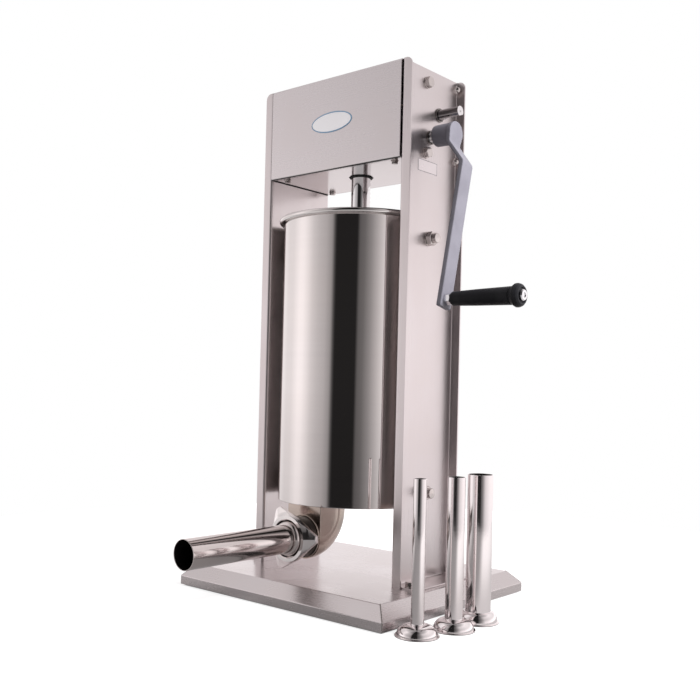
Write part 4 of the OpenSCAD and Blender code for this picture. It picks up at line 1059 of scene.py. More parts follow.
# %% Make the shaft bushes
BUSH_IN, BUSH_OUT, BUSH_FLANGE = 7.05, 8.3, 9.5
GEAR_PLATE_X = 26                     # the gear plates' inner faces, from the middle
fast_y, fast_z = np.mean(box_mm("fast_shaft"), axis=0)[1:]
slow_z = np.mean(box_mm("slow_shaft"), axis=0)[2]


def bush_at(x, sx, y, z, body):
    """A flanged tube turned about its shaft: body is its length behind the flange."""
    prof = rounded([(BUSH_IN, -body), (BUSH_OUT, -body), (BUSH_OUT, 0), (BUSH_FLANGE, 0),
                    (BUSH_FLANGE, 2), (BUSH_IN, 2)], [0.3, 0.3, 0.1, 0.3, 0.5, 0.5], 3)
    return lathe(prof, (x, y, z), (sx, 0, 0), 72)


bushes = []
for y, z in ((0, slow_z), (fast_y, fast_z)):
    bushes += [bush_at(web_out, 1, y, z, web_out - web_in + 8),
               bush_at(GEAR_PLATE_X, -1, y, z, 5)]
bushes.append(bush_at(-GEAR_PLATE_X, 1, fast_y, fast_z, 5))
piece("shaft_bush_rings", bushes, "frame", BUSH_STEEL, ["shaft_bushes"])
print("fasteners made;", len(made), "pieces so far")

# %% [markdown]
# ## Cylinder
# The cylinder is rolled, welded and polished like a mirror, and its rim is rolled outwards into
# a round bead. One closed profile, turned about the axis, holds both walls and the bead, so the
# wall's highlights run into the rim without a step.

# %% Make the cylinder
CYLINDER_T, BEAD_R = 1.5, 3.6
cyl_low, cyl_high = box_mm("cylinder_wall")
rim_high = box_mm("cylinder_rim")[1]
cyl_r, rim_top = cyl_high[0], rim_high[2]
cyl_in = cyl_r - CYLINDER_T
bead_x = rim_high[0] - BEAD_R
t = np.radians(np.linspace(-158, 92, 26))
bead = np.stack([bead_x + BEAD_R * np.cos(t), rim_top - BEAD_R + BEAD_R * np.sin(t)], 1)
wall = rounded([(cyl_in, cyl_low[2]), (cyl_r, cyl_low[2]), (cyl_r, bead[0, 1] - 0.6)],
               [0.2, 0.5, 0.0], 4, closed=False)
lip = rounded([(bead[-1, 0] - 0.3, rim_top), (cyl_in, rim_top), (cyl_in, rim_top - 6)],
              [0, 1.6, 0], 6, closed=False)
piece("cylinder_shell", [lathe(np.concatenate([wall, bead, lip]), (0, 0, 0), Z, 288)],
      "frame", MIRROR_STEEL, ["cylinder_wall", "cylinder_rim"], crease=40)
print("cylinder:", round(float(2 * cyl_r), 1), "mm across")

# %% [markdown]
# ## Outlet
# The elbow is a bent tube. Its rings stand square to a path that goes down, round a quarter
# circle and forwards, once for the outside and back again for the inside. Its inner corner is
# filled by flat sides and a flat front plate, a stack of rounded rectangles that end at the
# tube's middle line. The spout behind the nut is threaded: its radius rises and falls with
# height over pitch, less the turn.

# %% Make the elbow
ELBOW_R, ELBOW_WALL = 30.5, 2.0
elbow_low, elbow_high = box_mm("elbow")
elbow_front, elbow_top = elbow_low[1], elbow_high[2]
outlet_y = elbow_high[1] - ELBOW_R
spout_z = elbow_low[2] + ELBOW_R
bend_r = outlet_y - (elbow_front + 4.0)
a = np.linspace(0, np.pi / 2, 33)
path = np.stack([outlet_y - bend_r + bend_r * np.cos(a), spout_z + bend_r
                 - bend_r * np.sin(a)], 1)
path = np.concatenate([[(outlet_y, elbow_top)], path, [(elbow_front, spout_z)]])
heading = np.concatenate([[(0, -1)], np.stack([-np.sin(a), -np.cos(a)], 1), [(-1, 0)]])


def tube_rings(radius):
    """Rings square to the path: sideways is X, and the other way is the heading turned."""
    t = full_turn(96)
    side = np.stack([heading[:, 1] * -1, heading[:, 0]], 1)
    x = np.broadcast_to(radius * np.cos(t), (len(path), len(t)))
    y = path[:, 0, None] + radius * np.sin(t) * side[:, 0, None]
    z = path[:, 1, None] + radius * np.sin(t) * side[:, 1, None]
    return np.stack([x, y, z], -1)


elbow_rings = np.concatenate([tube_rings(ELBOW_R), tube_rings(ELBOW_R - ELBOW_WALL)[::-1]])
piece("elbow_tube", [ring_form(elbow_rings)], "frame", CAST_STEEL, ["elbow"])


# %% [markdown]
# A bead of weld joins the elbow to the cylinder and to the spout. It swells a little with each
# drop, so the size of the ring's section follows a sine. The flat plate in the elbow's inner
# corner is a stack of rectangles whose back edge follows the bend.

# %% Make the outlet's welds and its flat plate
def weld_ring(centre, axis, radius, bead=1.0, ripples=90):
    """A weld bead: a small ring whose section swells a little, ripple after ripple."""
    u, v, w = axes_of(axis)
    a, b = full_turn(360), full_turn(8)
    size = bead * (0.92 + 0.08 * np.sin(ripples * a))
    r = radius + size[:, None] * np.cos(b)
    h = size[:, None] * np.sin(b)
    return ring_form(np.asarray(centre) + r[..., None] * spokes(a, u, v)[:, None]
                     + h[..., None] * w)


piece("outlet_welds", [weld_ring((0, outlet_y, elbow_top - 0.6), Z, ELBOW_R, 1.3),
                       weld_ring((0, elbow_front - 0.4, spout_z), (0, 1, 0), 28.6)],
      "frame", CAST_STEEL)
PLATE_HALF = ELBOW_R - 0.1
face = elbow_front - 0.15
block_rings = []
for z in np.linspace(spout_z, elbow_top, 15):
    drop = max(0.0, spout_z + bend_r - z)
    back = outlet_y - bend_r + math.sqrt(bend_r ** 2 - drop ** 2)
    plan = rounded([(-PLATE_HALF, face), (PLATE_HALF, face), (PLATE_HALF, back),
                    (-PLATE_HALF, back)], [1.0, 1.0, 0.2, 0.2], 4)
    block_rings.append(np.column_stack([plan, np.full(len(plan), z)]))
piece("outlet_plate", [carried(block_rings)], "frame", CAST_STEEL, crease=40)
print("outlet plate", round(2 * PLATE_HALF, 1), "mm wide")

# %% [markdown]
# A bump map could draw the thread, but not in the outline, where the photograph shows it. So
# the radius is worked out over height and turn, which gives a true helix that fades out at
# both ends.

# %% Make the threaded spout
THREAD_R, THREAD_DEEP, THREAD_PITCH = 27.0, 1.35, 3.0
SPOUT_IN, SPOUT_OUT = 23.5, 28.4      # the bore, and the plain collar at the elbow
spout_low, spout_high = box_mm("threaded_spout")
seat, spout_back = -spout_low[1], -spout_high[1]
h = np.linspace(-elbow_front, seat, 170)
t = full_turn(144)
phase = (h[:, None] / THREAD_PITCH - t[None] / (2 * np.pi)) % 1
ramp = np.clip(1.6 - np.abs(2 * phase - 1) * 2.2, 0, 1)
fade = np.clip(np.minimum((h - h[0]) / 2.5, (seat - h) / 1.2), 0, 1)[:, None]
crest = THREAD_R - THREAD_DEEP + THREAD_DEEP * ramp * fade
flank = np.stack([crest * np.cos(t), np.broadcast_to(-h[:, None], crest.shape),
                  spout_z + crest * np.sin(t)], -1)
inner = [np.stack([r * np.cos(t), np.full_like(t, -y), spout_z + r * np.sin(t)], -1)
         for r, y in ((SPOUT_IN, seat), (SPOUT_IN, spout_back), (SPOUT_OUT, spout_back),
                      (SPOUT_OUT, -elbow_front - 0.05))]
piece("spout_thread", [ring_form(np.concatenate([flank, inner]))], "frame", THREAD_STEEL,
      ["threaded_spout"], crease=50)

# %% [markdown]
# ## Spring of the air valve
# The small spring in the piston's valve is wound from round wire: rings of points along a
# helix. It presses on the moving poppet, and is given a mesh of its own.

# %% Wind the valve spring
COIL_R, COIL_TURNS = 4.3, 4
coil_low, coil_high = box_mm("valve_spring")
coil_y, coil_length = (coil_low[1] + coil_high[1]) / 2, coil_high[2] - coil_low[2]
wire_r = coil_high[0] - COIL_R
v = np.linspace(0, 2 * np.pi * COIL_TURNS, 36 * COIL_TURNS + 1)[:, None]
b = full_turn(12)[None]
reach = COIL_R + wire_r * np.cos(b)
rise = (coil_length - 2 * wire_r) * v / v[-1]
coil = np.stack([reach * np.cos(v), coil_y + reach * np.sin(v),
                 coil_low[2] + wire_r + rise + wire_r * np.sin(b)], -1)
spring = piece("valve_coil", [carried(coil)], "piston", SPRING_STEEL, ["valve_spring"])
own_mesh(spring)

# %% [markdown]
# ## Nut and nozzles
# The nut has three blunt lobes, and its face falls away towards their tips. Its outline gives
# a radius for each angle, so the lobed plate is a grid over angle and section, and the ribbed
# hub behind it is a lathe. The nozzles are spun from one sheet: a flat flange, a dome and a
# straight tube with a soft edge.

# %% Work out the nut's outline
NUT_HOLE, NUT_BORE = 25.3, 27.3
NUT_ROUND, NUT_FLAT = 31.6, 30.5          # radius of the middle, and of its flat face
LOBE_HALF, LOBE_TURN = 4.4, 4.2           # half width of a lobe's end in mm, its turn in degrees
PLATE_T, HUB_R = 9.5, 28.7
FACE_FALL, RIDGE_FALL = 0.48, 0.24        # how steeply the face falls outwards and sideways
BACK_FLAT, BACK_FALL = 34, 0.27           # where the back starts to fall, and how steeply
THIRD = 2 * math.pi / 3
nut_low, nut_high = box_mm("nozzle_nut")
nut_back, nut_front = -nut_high[1], -nut_low[1]
nut_t = nut_front - nut_back
nut_reach = nut_high[0] - 1.0
lobe_r, lobe_at = math.hypot(LOBE_HALF, nut_reach), math.atan2(LOBE_HALF, nut_reach)
touch_at = lobe_at + math.acos(NUT_ROUND / lobe_r)
one_lobe = ([(lobe_r, -lobe_at, 1.4), (nut_reach, 0, 0), (lobe_r, lobe_at, 1.4)]
            + [(NUT_ROUND, v, 0) for v in np.linspace(touch_at, THIRD - touch_at, 5)])
polar = np.array([(r, v + lobe, soft) for lobe in np.radians([0, 120, 240])
                  for r, v, soft in one_lobe])
outline = rounded(np.stack([polar[:, 0] * np.cos(polar[:, 1]),
                            polar[:, 0] * np.sin(polar[:, 1])], 1), polar[:, 2], 6)
full = np.concatenate([outline, outline[:1]])
length = np.concatenate([[0], np.cumsum(np.linalg.norm(np.diff(full, axis=0), axis=1))])
at_len = np.sort(np.unique(np.concatenate([length[:-1], np.arange(0, length[-1], 1.5)])))
outline = np.stack([np.interp(at_len, length, full[:, i]) for i in (0, 1)], 1)
rho = np.linalg.norm(outline, axis=1)
unit = outline / rho[:, None]
nearest = np.round(np.arctan2(outline[:, 1], outline[:, 0]) / THIRD) * THIRD
aside = np.abs(-outline[:, 0] * np.sin(nearest) + outline[:, 1] * np.cos(nearest))
print("nut outline:", len(rho), "points")


# %% [markdown]
# The nut's section goes across the face, round the rim, back along the lobes' plate and through
# the bore. Each row gives a radius and a height for every point of the outline, so the ridges
# and the swept-back tips come out of one formula.

# %% Make the nozzle nut
def front_height(r, share):
    """The front face is flat up to a circle. Beyond it the face falls to the lobes' tips, and
    a ridge stands along each lobe: the fall also grows with the distance beside its middle."""
    out = np.clip(r - NUT_FLAT, 0, None)
    beside = aside * share
    return nut_t - out * FACE_FALL - RIDGE_FALL * beside * np.clip(out / 5, 0, 1)


def back_height(r):
    """The lobes are a plate: their back stands clear of the elbow."""
    return np.full_like(r, nut_t - PLATE_T) - np.clip(r - BACK_FLAT, 0, None) * BACK_FALL


flat_to = np.minimum(NUT_FLAT, rho - 0.9)
face_r = [NUT_HOLE + 0.8 + (flat_to - NUT_HOLE - 0.8) * f for f in np.linspace(0, 1, 4)]
face_r += [flat_to + (rho - 0.6 - flat_to) * f for f in np.linspace(0, 1, 10)[1:]]
rows = [(r, front_height(r, r / rho)) for r in face_r]
quarter = np.linspace(0, np.pi / 2, 5)
rows += [(rho - 0.6 + 0.6 * np.sin(f), front_height(rho, 1) - 0.6 * (1 - np.cos(f)))
         for f in quarter[1:]]
rows += [(rho - 1.0 + 1.0 * np.cos(f), back_height(rho) + 1.0 * (1 - np.sin(f)))
         for f in quarter]
hub_here = np.minimum(np.full_like(rho, HUB_R), rho - 1.2)
back_r = [hub_here + 0.6 + (rho - 1.0 - hub_here - 0.6) * f for f in np.linspace(1, 0, 6)[1:]]
rows += [(r, back_height(r)) for r in back_r]
step_at, lip_at = nut_t - PLATE_T - 0.6, nut_t - 8.9
full_r = np.ones_like(rho)
rows.append((hub_here, full_r * step_at))
rows += [(full_r * r, full_r * z) for r, z in ((NUT_BORE, step_at), (NUT_BORE, lip_at),
                                               (NUT_HOLE, lip_at), (NUT_HOLE, nut_t - 0.8))]
turn = math.radians(LOBE_TURN)
unit = unit @ np.array([[math.cos(turn), math.sin(turn)], [-math.sin(turn), math.cos(turn)]])
nut_rings = [np.stack([r * unit[:, 0], -(nut_back + z), spout_z + r * unit[:, 1]], -1)
             for r, z in rows]
piece("lobed_nut", [ring_form(nut_rings)], "nozzle_nut", NUT_STEEL, ["nozzle_nut"], crease=22)
hub_h = np.linspace(0.8, nut_t - PLATE_T - 0.3, 60)
hub_wave = np.abs(((hub_h / THREAD_PITCH) % 1) * 2 - 1)
hub_out = np.stack([HUB_R - 1.2 * np.clip(1.6 - 2.2 * hub_wave, 0, 1), hub_h], 1)
hub_line = np.concatenate([[(NUT_BORE, 0.2)], [(HUB_R - 1.6, 0.2)], hub_out,
                           [(NUT_BORE, nut_t - PLATE_T - 0.3)]])
piece("nut_hub", [lathe(hub_line, (0, -nut_back, spout_z), FRONT, 160, brace=False)],
      "nozzle_nut", THREAD_STEEL, crease=50)
print("nut:", made["lobed_nut"] + made["nut_hub"], "faces")

# %% [markdown]
# Each nozzle has a flange that the nut clamps, a bell and a straight tube. Only the outside is
# polished. The profile knows which of its points are inside, so an attribute marks them, and
# the finish reads that mark instead of needing a second material. The mark also takes in the
# flange's lower edge, and where it stands the colour is painted shade: deep in the tube and
# under the flange.

# %% Make the nozzles
FLANGE_R, FLANGE_T = 26.7, 1.6
BELL_R, BELL_H = 24.5, 14.0
NOZZLE_T = 1.0


def nozzle_profile(radius, length):
    """Outside from the flange up a quarter ellipse to the tube, and back down the inside."""
    a = np.linspace(0, np.pi / 2, 17)
    rise = BELL_H - FLANGE_T
    bore = radius - NOZZLE_T
    curve = (BELL_R - radius) * np.cos(a) ** 0.9
    out = np.stack([radius + curve, FLANGE_T + rise * np.sin(a)], 1)
    inn = np.stack([bore + curve, rise * np.sin(a)], 1)
    hem = rounded([(inn[0, 0], 0), (FLANGE_R, 0), (FLANGE_R, FLANGE_T), (out[0, 0], FLANGE_T)],
                  [0.3, 0.6, 0.6, 0], 3, closed=False)
    tube = np.array([(radius, BELL_H + 1), (radius, length - 0.4), (radius - 0.3, length),
                     (bore + 0.2, length), (bore, length - 0.3), (bore, rise + 1)])
    return np.concatenate([hem, out[1:-1], rounded([out[-2], out[-1], (radius, BELL_H + 2)],
                           [0, 1.2, 0], 4, closed=False)[1:-1], tube, inn[::-1][:-1]])


def make_nozzle(name, radius, length, at, axis, body, material, node, turns=160):
    """One nozzle. The profile's points after the mouth's edge are inside, and they and the
    flange's lower edge take the painted shade.
    """
    profile = braced(nozzle_profile(radius, length))
    mouth = int(np.argmax(profile[:, 1]))
    # inside marks the points past the mouth, and at 0.8 the flange's lower edge: both get painted
    # shade.
    inside = np.clip((np.arange(len(profile)) > mouth + 1) + 0.8
                     * ((profile[:, 1] < 0.75) & (profile[:, 0] > 25)), 0, 1)
    piece(name, [lathe(profile, at, axis, turns, brace=False)], body, material, [node],
          crease=40, bore=np.repeat(inside.astype(float), turns))
    print(name, made[name], "faces")


tube_low, tube_high = box_mm("nozzle_tube")
make_nozzle("mounted_nozzle", 19.0, tube_high[1] - tube_low[1], (0, tube_high[1], spout_z),
            FRONT, "nozzle", NOZZLE_STEEL, "nozzle_tube", 192)
for which, radius in (("narrow", 8.0), ("middle", 11.0), ("wide", 16.0)):
    low, high = box_mm("spare_tube_" + which)
    make_nozzle(which + "_nozzle", radius, high[2] - low[2],
                ((low[0] + high[0]) / 2, (low[1] + high[1]) / 2, 0), Z, which + "_tube",
                TUBE_STEEL, "spare_tube_" + which)

# %% [markdown]
# ## Crank
# The crank is one casting: a round hub, and an arm that slants outwards and then runs straight
# down to the grip. Castings have no sharp edges and their parts melt into each other. So the hub
# and the arm are made as two closed forms, then remeshed into one skin and relaxed a little.

# %% Work out the crank's hub and arm
HANG = math.radians(13)
CRANK_L, ARM_T, EYE_R = 235.0, 7.0, 15.3
CRANK_BORE, CRANK_HUB_R = 7.05, 14.3
EDGE_POWER = 0.09     # a superellipse of this small power keeps flats and rounds edges
VOXEL = 0.00068       # metres: the size of the skin's cells
hub_x = web_out + 10.1
hub_face = hub_x + 32.5
hub_floor = hub_x + 27.5
arm_x = box_mm("crank_arm")[1][0]


def hang(points):
    """Turns points about the slow shaft from straight down to the crank's angle."""
    p = np.array(points, float)
    y, z = p[..., 1].copy(), p[..., 2] - slow_z
    p[..., 1] = y * math.cos(HANG) + z * math.sin(HANG)
    p[..., 2] = -y * math.sin(HANG) + z * math.cos(HANG) + slow_z
    return p


def arm_rings():
    """Rounded rectangles along the arm: each has a middle line point (x, down), a width and a
    thickness. The upper end is round, and the lower end's last rings draw in."""
    keys = np.array([
        # down, outer face x, width
        (-EYE_R, hub_face, 0), (4.0, hub_face, 29.5), (14.0, hub_face, 26.5),
        (17.0, hub_face + 0.6, 26.0), (47.0, arm_x - 0.8, 24.2), (51.0, arm_x, 24.0),
        (CRANK_L + 11.5, arm_x, 24.0)])
    end = np.linspace(0, np.pi / 2, 5)[1:]
    down = np.concatenate([-EYE_R * np.cos(np.linspace(0.06, np.pi / 2, 18)),
                           np.linspace(1, 17, 12), np.linspace(20, 46, 14),
                           np.linspace(47, 54, 7), np.linspace(64, CRANK_L + 10, 24),
                           CRANK_L + 10 + 1.5 * np.sin(end)])
    face = np.interp(down, keys[:, 0], keys[:, 1])
    width = np.interp(down, keys[:, 0], keys[:, 2])
    width = np.maximum(np.where(down < 4, 0, width),
                       2 * np.sqrt(np.clip(EYE_R ** 2 - down ** 2, 0, None)))
    width[-4:] -= 3.0 * (1 - np.cos(end))
    a = full_turn(64)
    c, s = np.cos(a), np.sin(a)
    across = np.sign(c) * np.abs(c) ** EDGE_POWER * 0.5
    through = np.sign(s) * np.abs(s) ** EDGE_POWER * 0.5
    x = face[:, None] - ARM_T * (0.5 - through)
    y = width[:, None] * across
    return np.stack([x, y, np.broadcast_to(slow_z - down[:, None], y.shape)], -1)


# %% [markdown]
# A boolean would leave a hard line between the hub and the arm. A voxel remesh melts them into
# one skin, and a light smoothing rounds it as a casting is round.

# %% Make the crank
hub_profile = rounded([(CRANK_BORE, hub_x), (CRANK_HUB_R, hub_x),
                       (CRANK_HUB_R + 0.6, hub_face - 1), (0, hub_face - 1), (0, hub_floor),
                       (CRANK_BORE, hub_floor)], [0.6, 1.4, 1.8, 0, 0, 0], 5)
crank = piece("crank_casting", [lathe(hub_profile, (0, 0, slow_z), X), carried(hang(arm_rings()))],
              "crank", CRANK_PAINT, ["crank_arm"])
remesh = crank.modifiers.new("skin", "REMESH")
remesh.mode = "VOXEL"
remesh.voxel_size = VOXEL
relax = crank.modifiers.new("relax", "SMOOTH")
relax.factor = 0.5
relax.iterations = 3
bake(crank)
finish_piece(crank, "crank", CRANK_PAINT, ["crank_arm"], 60, 0)
print("crank:", len(crank.data.polygons), "faces")

# %% [markdown]
# ## Grip
# The grip is turned black plastic that spins on a steel spindle: it swells towards the hand's
# heel, with a fine groove and a flared collar at the end. It is a lathe again.

# %% Make the grip
GRIP_FROM, GRIP_BORE, GRIP_END_R = 4.2, 5.08, 14.7
LOCK_NUT_FLATS, CAP_R, CAP_H = 14.2, 7.0, 2.6
grip_low, grip_high = box_mm("grip")
grip_len = grip_high[0] - grip_low[0]
grip_y = -CRANK_L * math.sin(HANG)
grip_z = slow_z - CRANK_L * math.cos(HANG)
grip_profile = rounded(
    [(GRIP_BORE, GRIP_FROM), (7.6, GRIP_FROM), (9.0, GRIP_FROM + 1.4), (10.3, 40),
     (11.4, grip_len - 15.6), (11.4, grip_len - 15.0), (10.7, grip_len - 14.6),
     (10.9, grip_len - 13.6), (12.6, grip_len - 11.2), (GRIP_END_R, grip_len - 7.8),
     (GRIP_END_R, grip_len - 5.2), (13.6, grip_len - 2.0), (11.6, grip_len), (9.6, grip_len),
     (9.0, grip_len - 1.4), (GRIP_BORE, grip_len - 1.4)],
    [0.2, 1.0, 1.0, 20, 0.3, 0.3, 0.2, 0.6, 2.0, 1.6, 1.6, 1.4, 0.8, 0.3, 0.3, 0.2], 5)
piece("grip_handle", [lathe(grip_profile, (grip_low[0], grip_y, grip_z), X)], "grip",
      BLACK_PLASTIC, ["grip"], crease=40)
lock_nut = hex_form((arm_x, grip_y, grip_z), X, LOCK_NUT_FLATS,
                    grip_low[0] + GRIP_FROM - arm_x - 0.4, hole=5.05, turn=0.1, both=True)
piece("grip_lock_nut", [lock_nut], "crank", ZINC, ["grip_locknut"], crease=20)
spin_low, spin_high = box_mm("grip_spindle")
cap_x = spin_high[0] - CAP_H
spindle_line = rounded([(0, spin_low[0]), (5, spin_low[0]), (5, cap_x), (CAP_R, cap_x),
                        (CAP_R, cap_x + 1.0), (6.0, cap_x + CAP_H), (3.2, cap_x + CAP_H),
                        (2.6, cap_x + 1.2), (0, cap_x + 1.2)],
                       [0, 0.3, 0, 0.3, 0.5, 0.5, 0.2, 0.2, 0], 4, closed=False)
piece("grip_spindle_cap", [lathe(spindle_line, (0, grip_y, grip_z), X, 96, closed=False)],
      "crank", ZINC, ["grip_spindle"], crease=35)
print("grip:", round(float(grip_len), 1), "mm long")

# %% [markdown]
# ## Stage
# A product photograph of polished steel is mostly a picture of the studio. White walls stand
# left and right, and the gap between them is dark, which draws the black band on the cylinder.
# The world holds those walls as a ramp over the compass direction. The floor and the view
# behind are white to the camera, and one lamp only lights what is dull.

# %% Make the floor
FLOOR_R = 0.95
GAP = math.radians(-68)               # compass direction of the gap, from +X towards +Y
GAP_EDGE = (0.60, 0.92)               # cosine of the angle from it: outside it, and inside it
FLOOR_COLOUR, GAP_COLOUR = (0.32, 0.31, 0.31), (0.14, 0.135, 0.135)
NEAR_GLOW, FAR_GLOW = 0.08, 0.24      # what steel sees of the floor, near and added far off
t = full_turn(128)
floor_mesh = bpy.data.meshes.new("floor")
floor_mesh.from_pydata(np.column_stack([FLOOR_R * np.cos(t), FLOOR_R * np.sin(t),
                                        np.zeros(128)]), [], [list(range(128))])
floor = bpy.data.objects.new("floor", floor_mesh)
scene.collection.objects.link(floor)
floor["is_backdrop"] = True

# %% [markdown]
# The floor's colour carries the object's shadow, and its emission makes it white to the camera
# away from the object. Under the base it doesn't glow. Steel sees a paler floor far off, but
# not towards the gap between the white walls.

# %% Make the floor's material
floor_mat, ft, plain, place = start_material("pale floor")
rays = add(ft, "LightPath").outputs
spot = place["Object"]
away = add(ft, "VectorMath", {0: spot}, operation="LENGTH").outputs["Value"]
across = add(ft, "SeparateXYZ", {0: spot}).outputs
edge_x, edge_y = (math_node(ft, "DIVIDE", math_node(ft, "ABSOLUTE", across[i]),
                            (base_high[i] - 3) * MM) for i in (0, 1))
beyond = spread_node(ft, math_node(ft, "MAXIMUM", edge_x, edge_y), 0.985, 1.0)
towards_gap = math_node(ft, "MULTIPLY_ADD", across["Y"], math.sin(GAP),
                        math_node(ft, "MULTIPLY", across["X"], math.cos(GAP)))
towards_gap = math_node(ft, "DIVIDE", towards_gap, away)
in_gap = math_node(ft, "MULTIPLY", rays["Is Glossy Ray"],
                   spread_node(ft, towards_gap, *GAP_EDGE))
pale = math_node(ft, "MULTIPLY", spread_node(ft, towards_gap, *GAP_EDGE, 1.0, 0.0),
                 spread_node(ft, away, 0.35, 0.70, 0.0, FAR_GLOW))
white = spread_node(ft, away, 0.26, 0.55, 0.80, 1.0)
glow = math_node(ft, "MULTIPLY_ADD", rays["Is Glossy Ray"],
                 math_node(ft, "ADD", pale, NEAR_GLOW),
                 math_node(ft, "MULTIPLY", rays["Is Camera Ray"], white))
plain["Roughness"].default_value = 0.9
plain["Specular IOR Level"].default_value = 0.0
plain["Emission Color"].default_value = (1, 1, 1, 1)
feed(ft, plain["Base Color"], colour_mix(ft, in_gap, FLOOR_COLOUR, GAP_COLOUR))
feed(ft, plain["Emission Strength"], math_node(ft, "MULTIPLY", glow, beyond))
floor_mesh.materials.append(floor_mat)
print("floor:", 2 * FLOOR_R, "m across")

# %% [markdown]
# Lamps would show in the steel as small bright spots. So the studio's walls are painted on the
# world instead, as two colour ramps: one over the compass, and one over the height.

# %% Measure out the studio's walls
# compass direction in degrees from +X towards +Y, and how bright the studio is there
WALLS = [(-180, 0.95), (-165, 0.98), (-148, 1.22), (-140, 1.20), (-131, 1.02), (-122, 0.80),
         (-112, 0.66), (-100, 0.55), (-91, 0.38), (-87, 0.10), (-84, 0.02), (-53, 0.02),
         (-49, 0.14), (-42, 0.18), (-32, 0.34), (-22, 0.58), (-12, 0.85), (10, 1.05),
         (35, 1.22), (60, 1.26), (100, 1.22), (135, 1.22), (160, 1.05), (180, 0.95)]
# sine of the height above the horizon, and the share of that brightness that is left
HEIGHTS = [(-1.0, 0.60), (-0.20, 0.76), (-0.06, 0.94), (0.0, 1.04), (0.10, 1.03), (0.20, 0.95),
           (0.30, 0.80), (0.42, 0.70), (0.60, 0.76), (0.78, 0.80), (0.90, 0.45), (1.0, 0.25)]
BRIGHTEST = 1.36
WALL_TINT, NO_TINT = (1.0, 0.955, 0.96), (1.0, 1.0, 1.0)
UNDER = 0.60          # grey that fills the dark gap well under the horizon

world = bpy.data.worlds.new("studio")
scene.world = world
world.use_nodes = True
wt = world.node_tree
wt.nodes.clear()


def ramp_node(place, stops, tint):
    """A colour ramp from (place from 0 to 1, level) pairs."""
    node = add(wt, "ValToRGB", {0: place})
    ramp = node.color_ramp
    ramp.interpolation = "LINEAR"
    while len(ramp.elements) > 1:
        ramp.elements.remove(ramp.elements[0])
    for i, (at, level) in enumerate(stops):
        stop = ramp.elements[0] if i == 0 else ramp.elements.new(at)
        stop.position = at
        stop.color = (*(level * k for k in tint), 1)
    return node.outputs[0]


# %% [markdown]
# The two ramps are multiplied, and the camera sees plain white in their place. One lamp from
# the right lights what is dull, such as the crank's paint, and is hidden from reflections.

# %% Make the world and the lamp
way = add(wt, "SeparateXYZ", {0: add(wt, "TexCoord").outputs["Generated"]}).outputs
compass = math_node(wt, "ARCTAN2", way["Y"], way["X"])
walls = ramp_node(math_node(wt, "MULTIPLY_ADD", compass, 1 / (2 * math.pi), 0.5),
                  [((d + 180) / 360, v / BRIGHTEST) for d, v in WALLS], WALL_TINT)
heights = ramp_node(math_node(wt, "MULTIPLY_ADD", way["Z"], 0.5, 0.5),
                    [((h + 1) / 2, v) for h, v in HEIGHTS], NO_TINT)
shaded = add(wt, "VectorMath", {0: walls, 1: heights}, operation="MULTIPLY").outputs[0]
# the grey fill keeps the gap from ending in a step at the floor's edge
under = spread_node(wt, math_node(wt, "MULTIPLY", way["Z"], -1.0), 0.13, 0.27)
sky = add(wt, "VectorMath", {0: shaded, 1: math_node(wt, "MULTIPLY", under, UNDER)},
          operation="MAXIMUM").outputs[0]
studio = add(wt, "Background", {"Color": sky, "Strength": BRIGHTEST}).outputs[0]
white_back = add(wt, "Background", {"Color": (1, 1, 1, 1)}).outputs[0]
rays = add(wt, "LightPath").outputs
direct = math_node(wt, "MAXIMUM", rays["Is Camera Ray"], rays["Is Transmission Ray"])
seen = add(wt, "MixShader", {0: direct, 1: studio, 2: white_back}).outputs[0]
add(wt, "OutputWorld", {0: seen})


def lamp(name, at, towards, size, power):
    """A soft rectangle of light that polished steel doesn't show."""
    data = bpy.data.lights.new(name, "AREA")
    data.shape = "RECTANGLE"
    data.size, data.size_y = size
    data.energy = power
    ob = bpy.data.objects.new(name, data)
    d = Vector(towards) - Vector(at)
    ob.matrix_world = Matrix.Translation(at) @ d.to_track_quat("-Z", "Y").to_matrix().to_4x4()
    ob.visible_glossy = False
    scene.collection.objects.link(ob)


lamp("right_box", at=(2.2, 0.1, 1.7), towards=(0, 0, 0.35), size=(1.2, 1.2), power=140)
scene.view_settings.view_transform = "Standard"
print("walls:", len(WALLS), "stops; lamps:", len(bpy.data.lights))

# %% [markdown]
# ## Check against the photograph
# Named points of the photograph say where edges and features should show. The script measures
# where they do show, in the same pixels, and prints the difference for each.

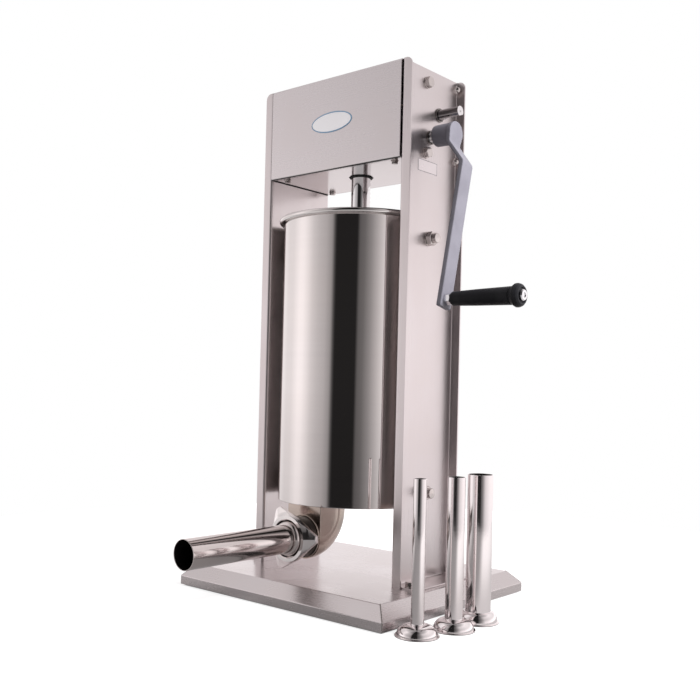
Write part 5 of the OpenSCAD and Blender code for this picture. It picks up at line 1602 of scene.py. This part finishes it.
# %% Find what shows at the edges
graph = bpy.context.evaluated_depsgraph_get()
shown = []
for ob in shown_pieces():
    ev = ob.evaluated_get(graph)
    m = ev.to_mesh()
    co = np.empty(len(m.vertices) * 3)
    m.vertices.foreach_get("co", co)
    w = np.array(ev.matrix_world)
    shown.append(co.reshape(-1, 3) @ w[:3, :3].T + w[:3, 3])
    ev.to_mesh_clear()
inv = np.array(camera.matrix_world.inverted())
seen_at = np.concatenate(shown) @ inv[:3, :3].T + inv[:3, 3]
size_px = SPAN * cam_data.lens / cam_data.sensor_width / -seen_at[:, 2]
px = FRAME_W / 2 + seen_at[:, 0] * size_px
py = FRAME_H / 2 + cam_data.shift_y * SPAN - seen_at[:, 1] * size_px
EDGE_POINTS = {"left": 171.5, "right": 528.5, "top": 57.0, "bottom": 642.5}
edges = {"left": px.min(), "right": px.max(), "top": py.min(), "bottom": py.max()}

# %% [markdown]
# Most places come from the values that made the piece, so a wrong size or camera shows here as a
# difference. The pin ends, the grip's end and the narrow nozzle's top are given in mm. The badge
# and the label can't differ, because they are placed by their points.

# %% Measure the points
FEATURES = {
    "left_post_top_front": ((-web_in, -half_d, post_top), (274.3, 94.0)),
    "right_post_top_front": ((web_in, -half_d, post_top), (402.5, 58.5)),
    "head_bottom_left": ((-web_in, -half_d, cover_low[2]), (272.2, 180.0)),
    "head_bottom_right": ((web_in, -half_d, cover_low[2]), (401.3, 156.3)),
    "base_front_corner": ((base_high[0], base_low[1], base_low[2]), (381.0, 633.7)),
    "base_left_corner": ((base_low[0], base_low[1], base_low[2]), (180.0, 584.0)),
    "base_right_corner": ((base_high[0], base_high[1], base_low[2]), (521.3, 590.5)),
    "badge": (badge_at, BADGE_POINT),
    "side_label": (label_at, LABEL_POINT),
    "upper_pin_end": ((138.8, 0, 496.0), (437.9, 238.7)),
    "lower_pin_end": ((138.8, 0, 150.0), (432.2, 491.9)),
    "grip_end": ((303.0, grip_y, grip_z), (524.6, 295.4)),
    "narrow_nozzle_top": ((216.9, -136.0, 185.0), (419.5, 480.0)),
}
report = {}
for name, value in EDGE_POINTS.items():
    report[name] = {"photo": value, "shows": round(float(edges[name]), 2),
                    "off": round(float(edges[name]) - value, 2)}
for name, (at, (x, y)) in FEATURES.items():
    sx, sy = pixel_of(np.asarray(at, float) * MM)
    report[name] = {"photo": [x, y], "shows": [round(sx, 2), round(sy, 2)],
                    "off": [round(sx - x, 2), round(sy - y, 2)]}
for name, line in report.items():
    print("point", name, line["off"])

# %% [markdown]
# Last, the count of pieces and of their faces is printed.

# %% Print the count of pieces and faces
print("pieces:", len(made), "faces:", sum(made.values()))
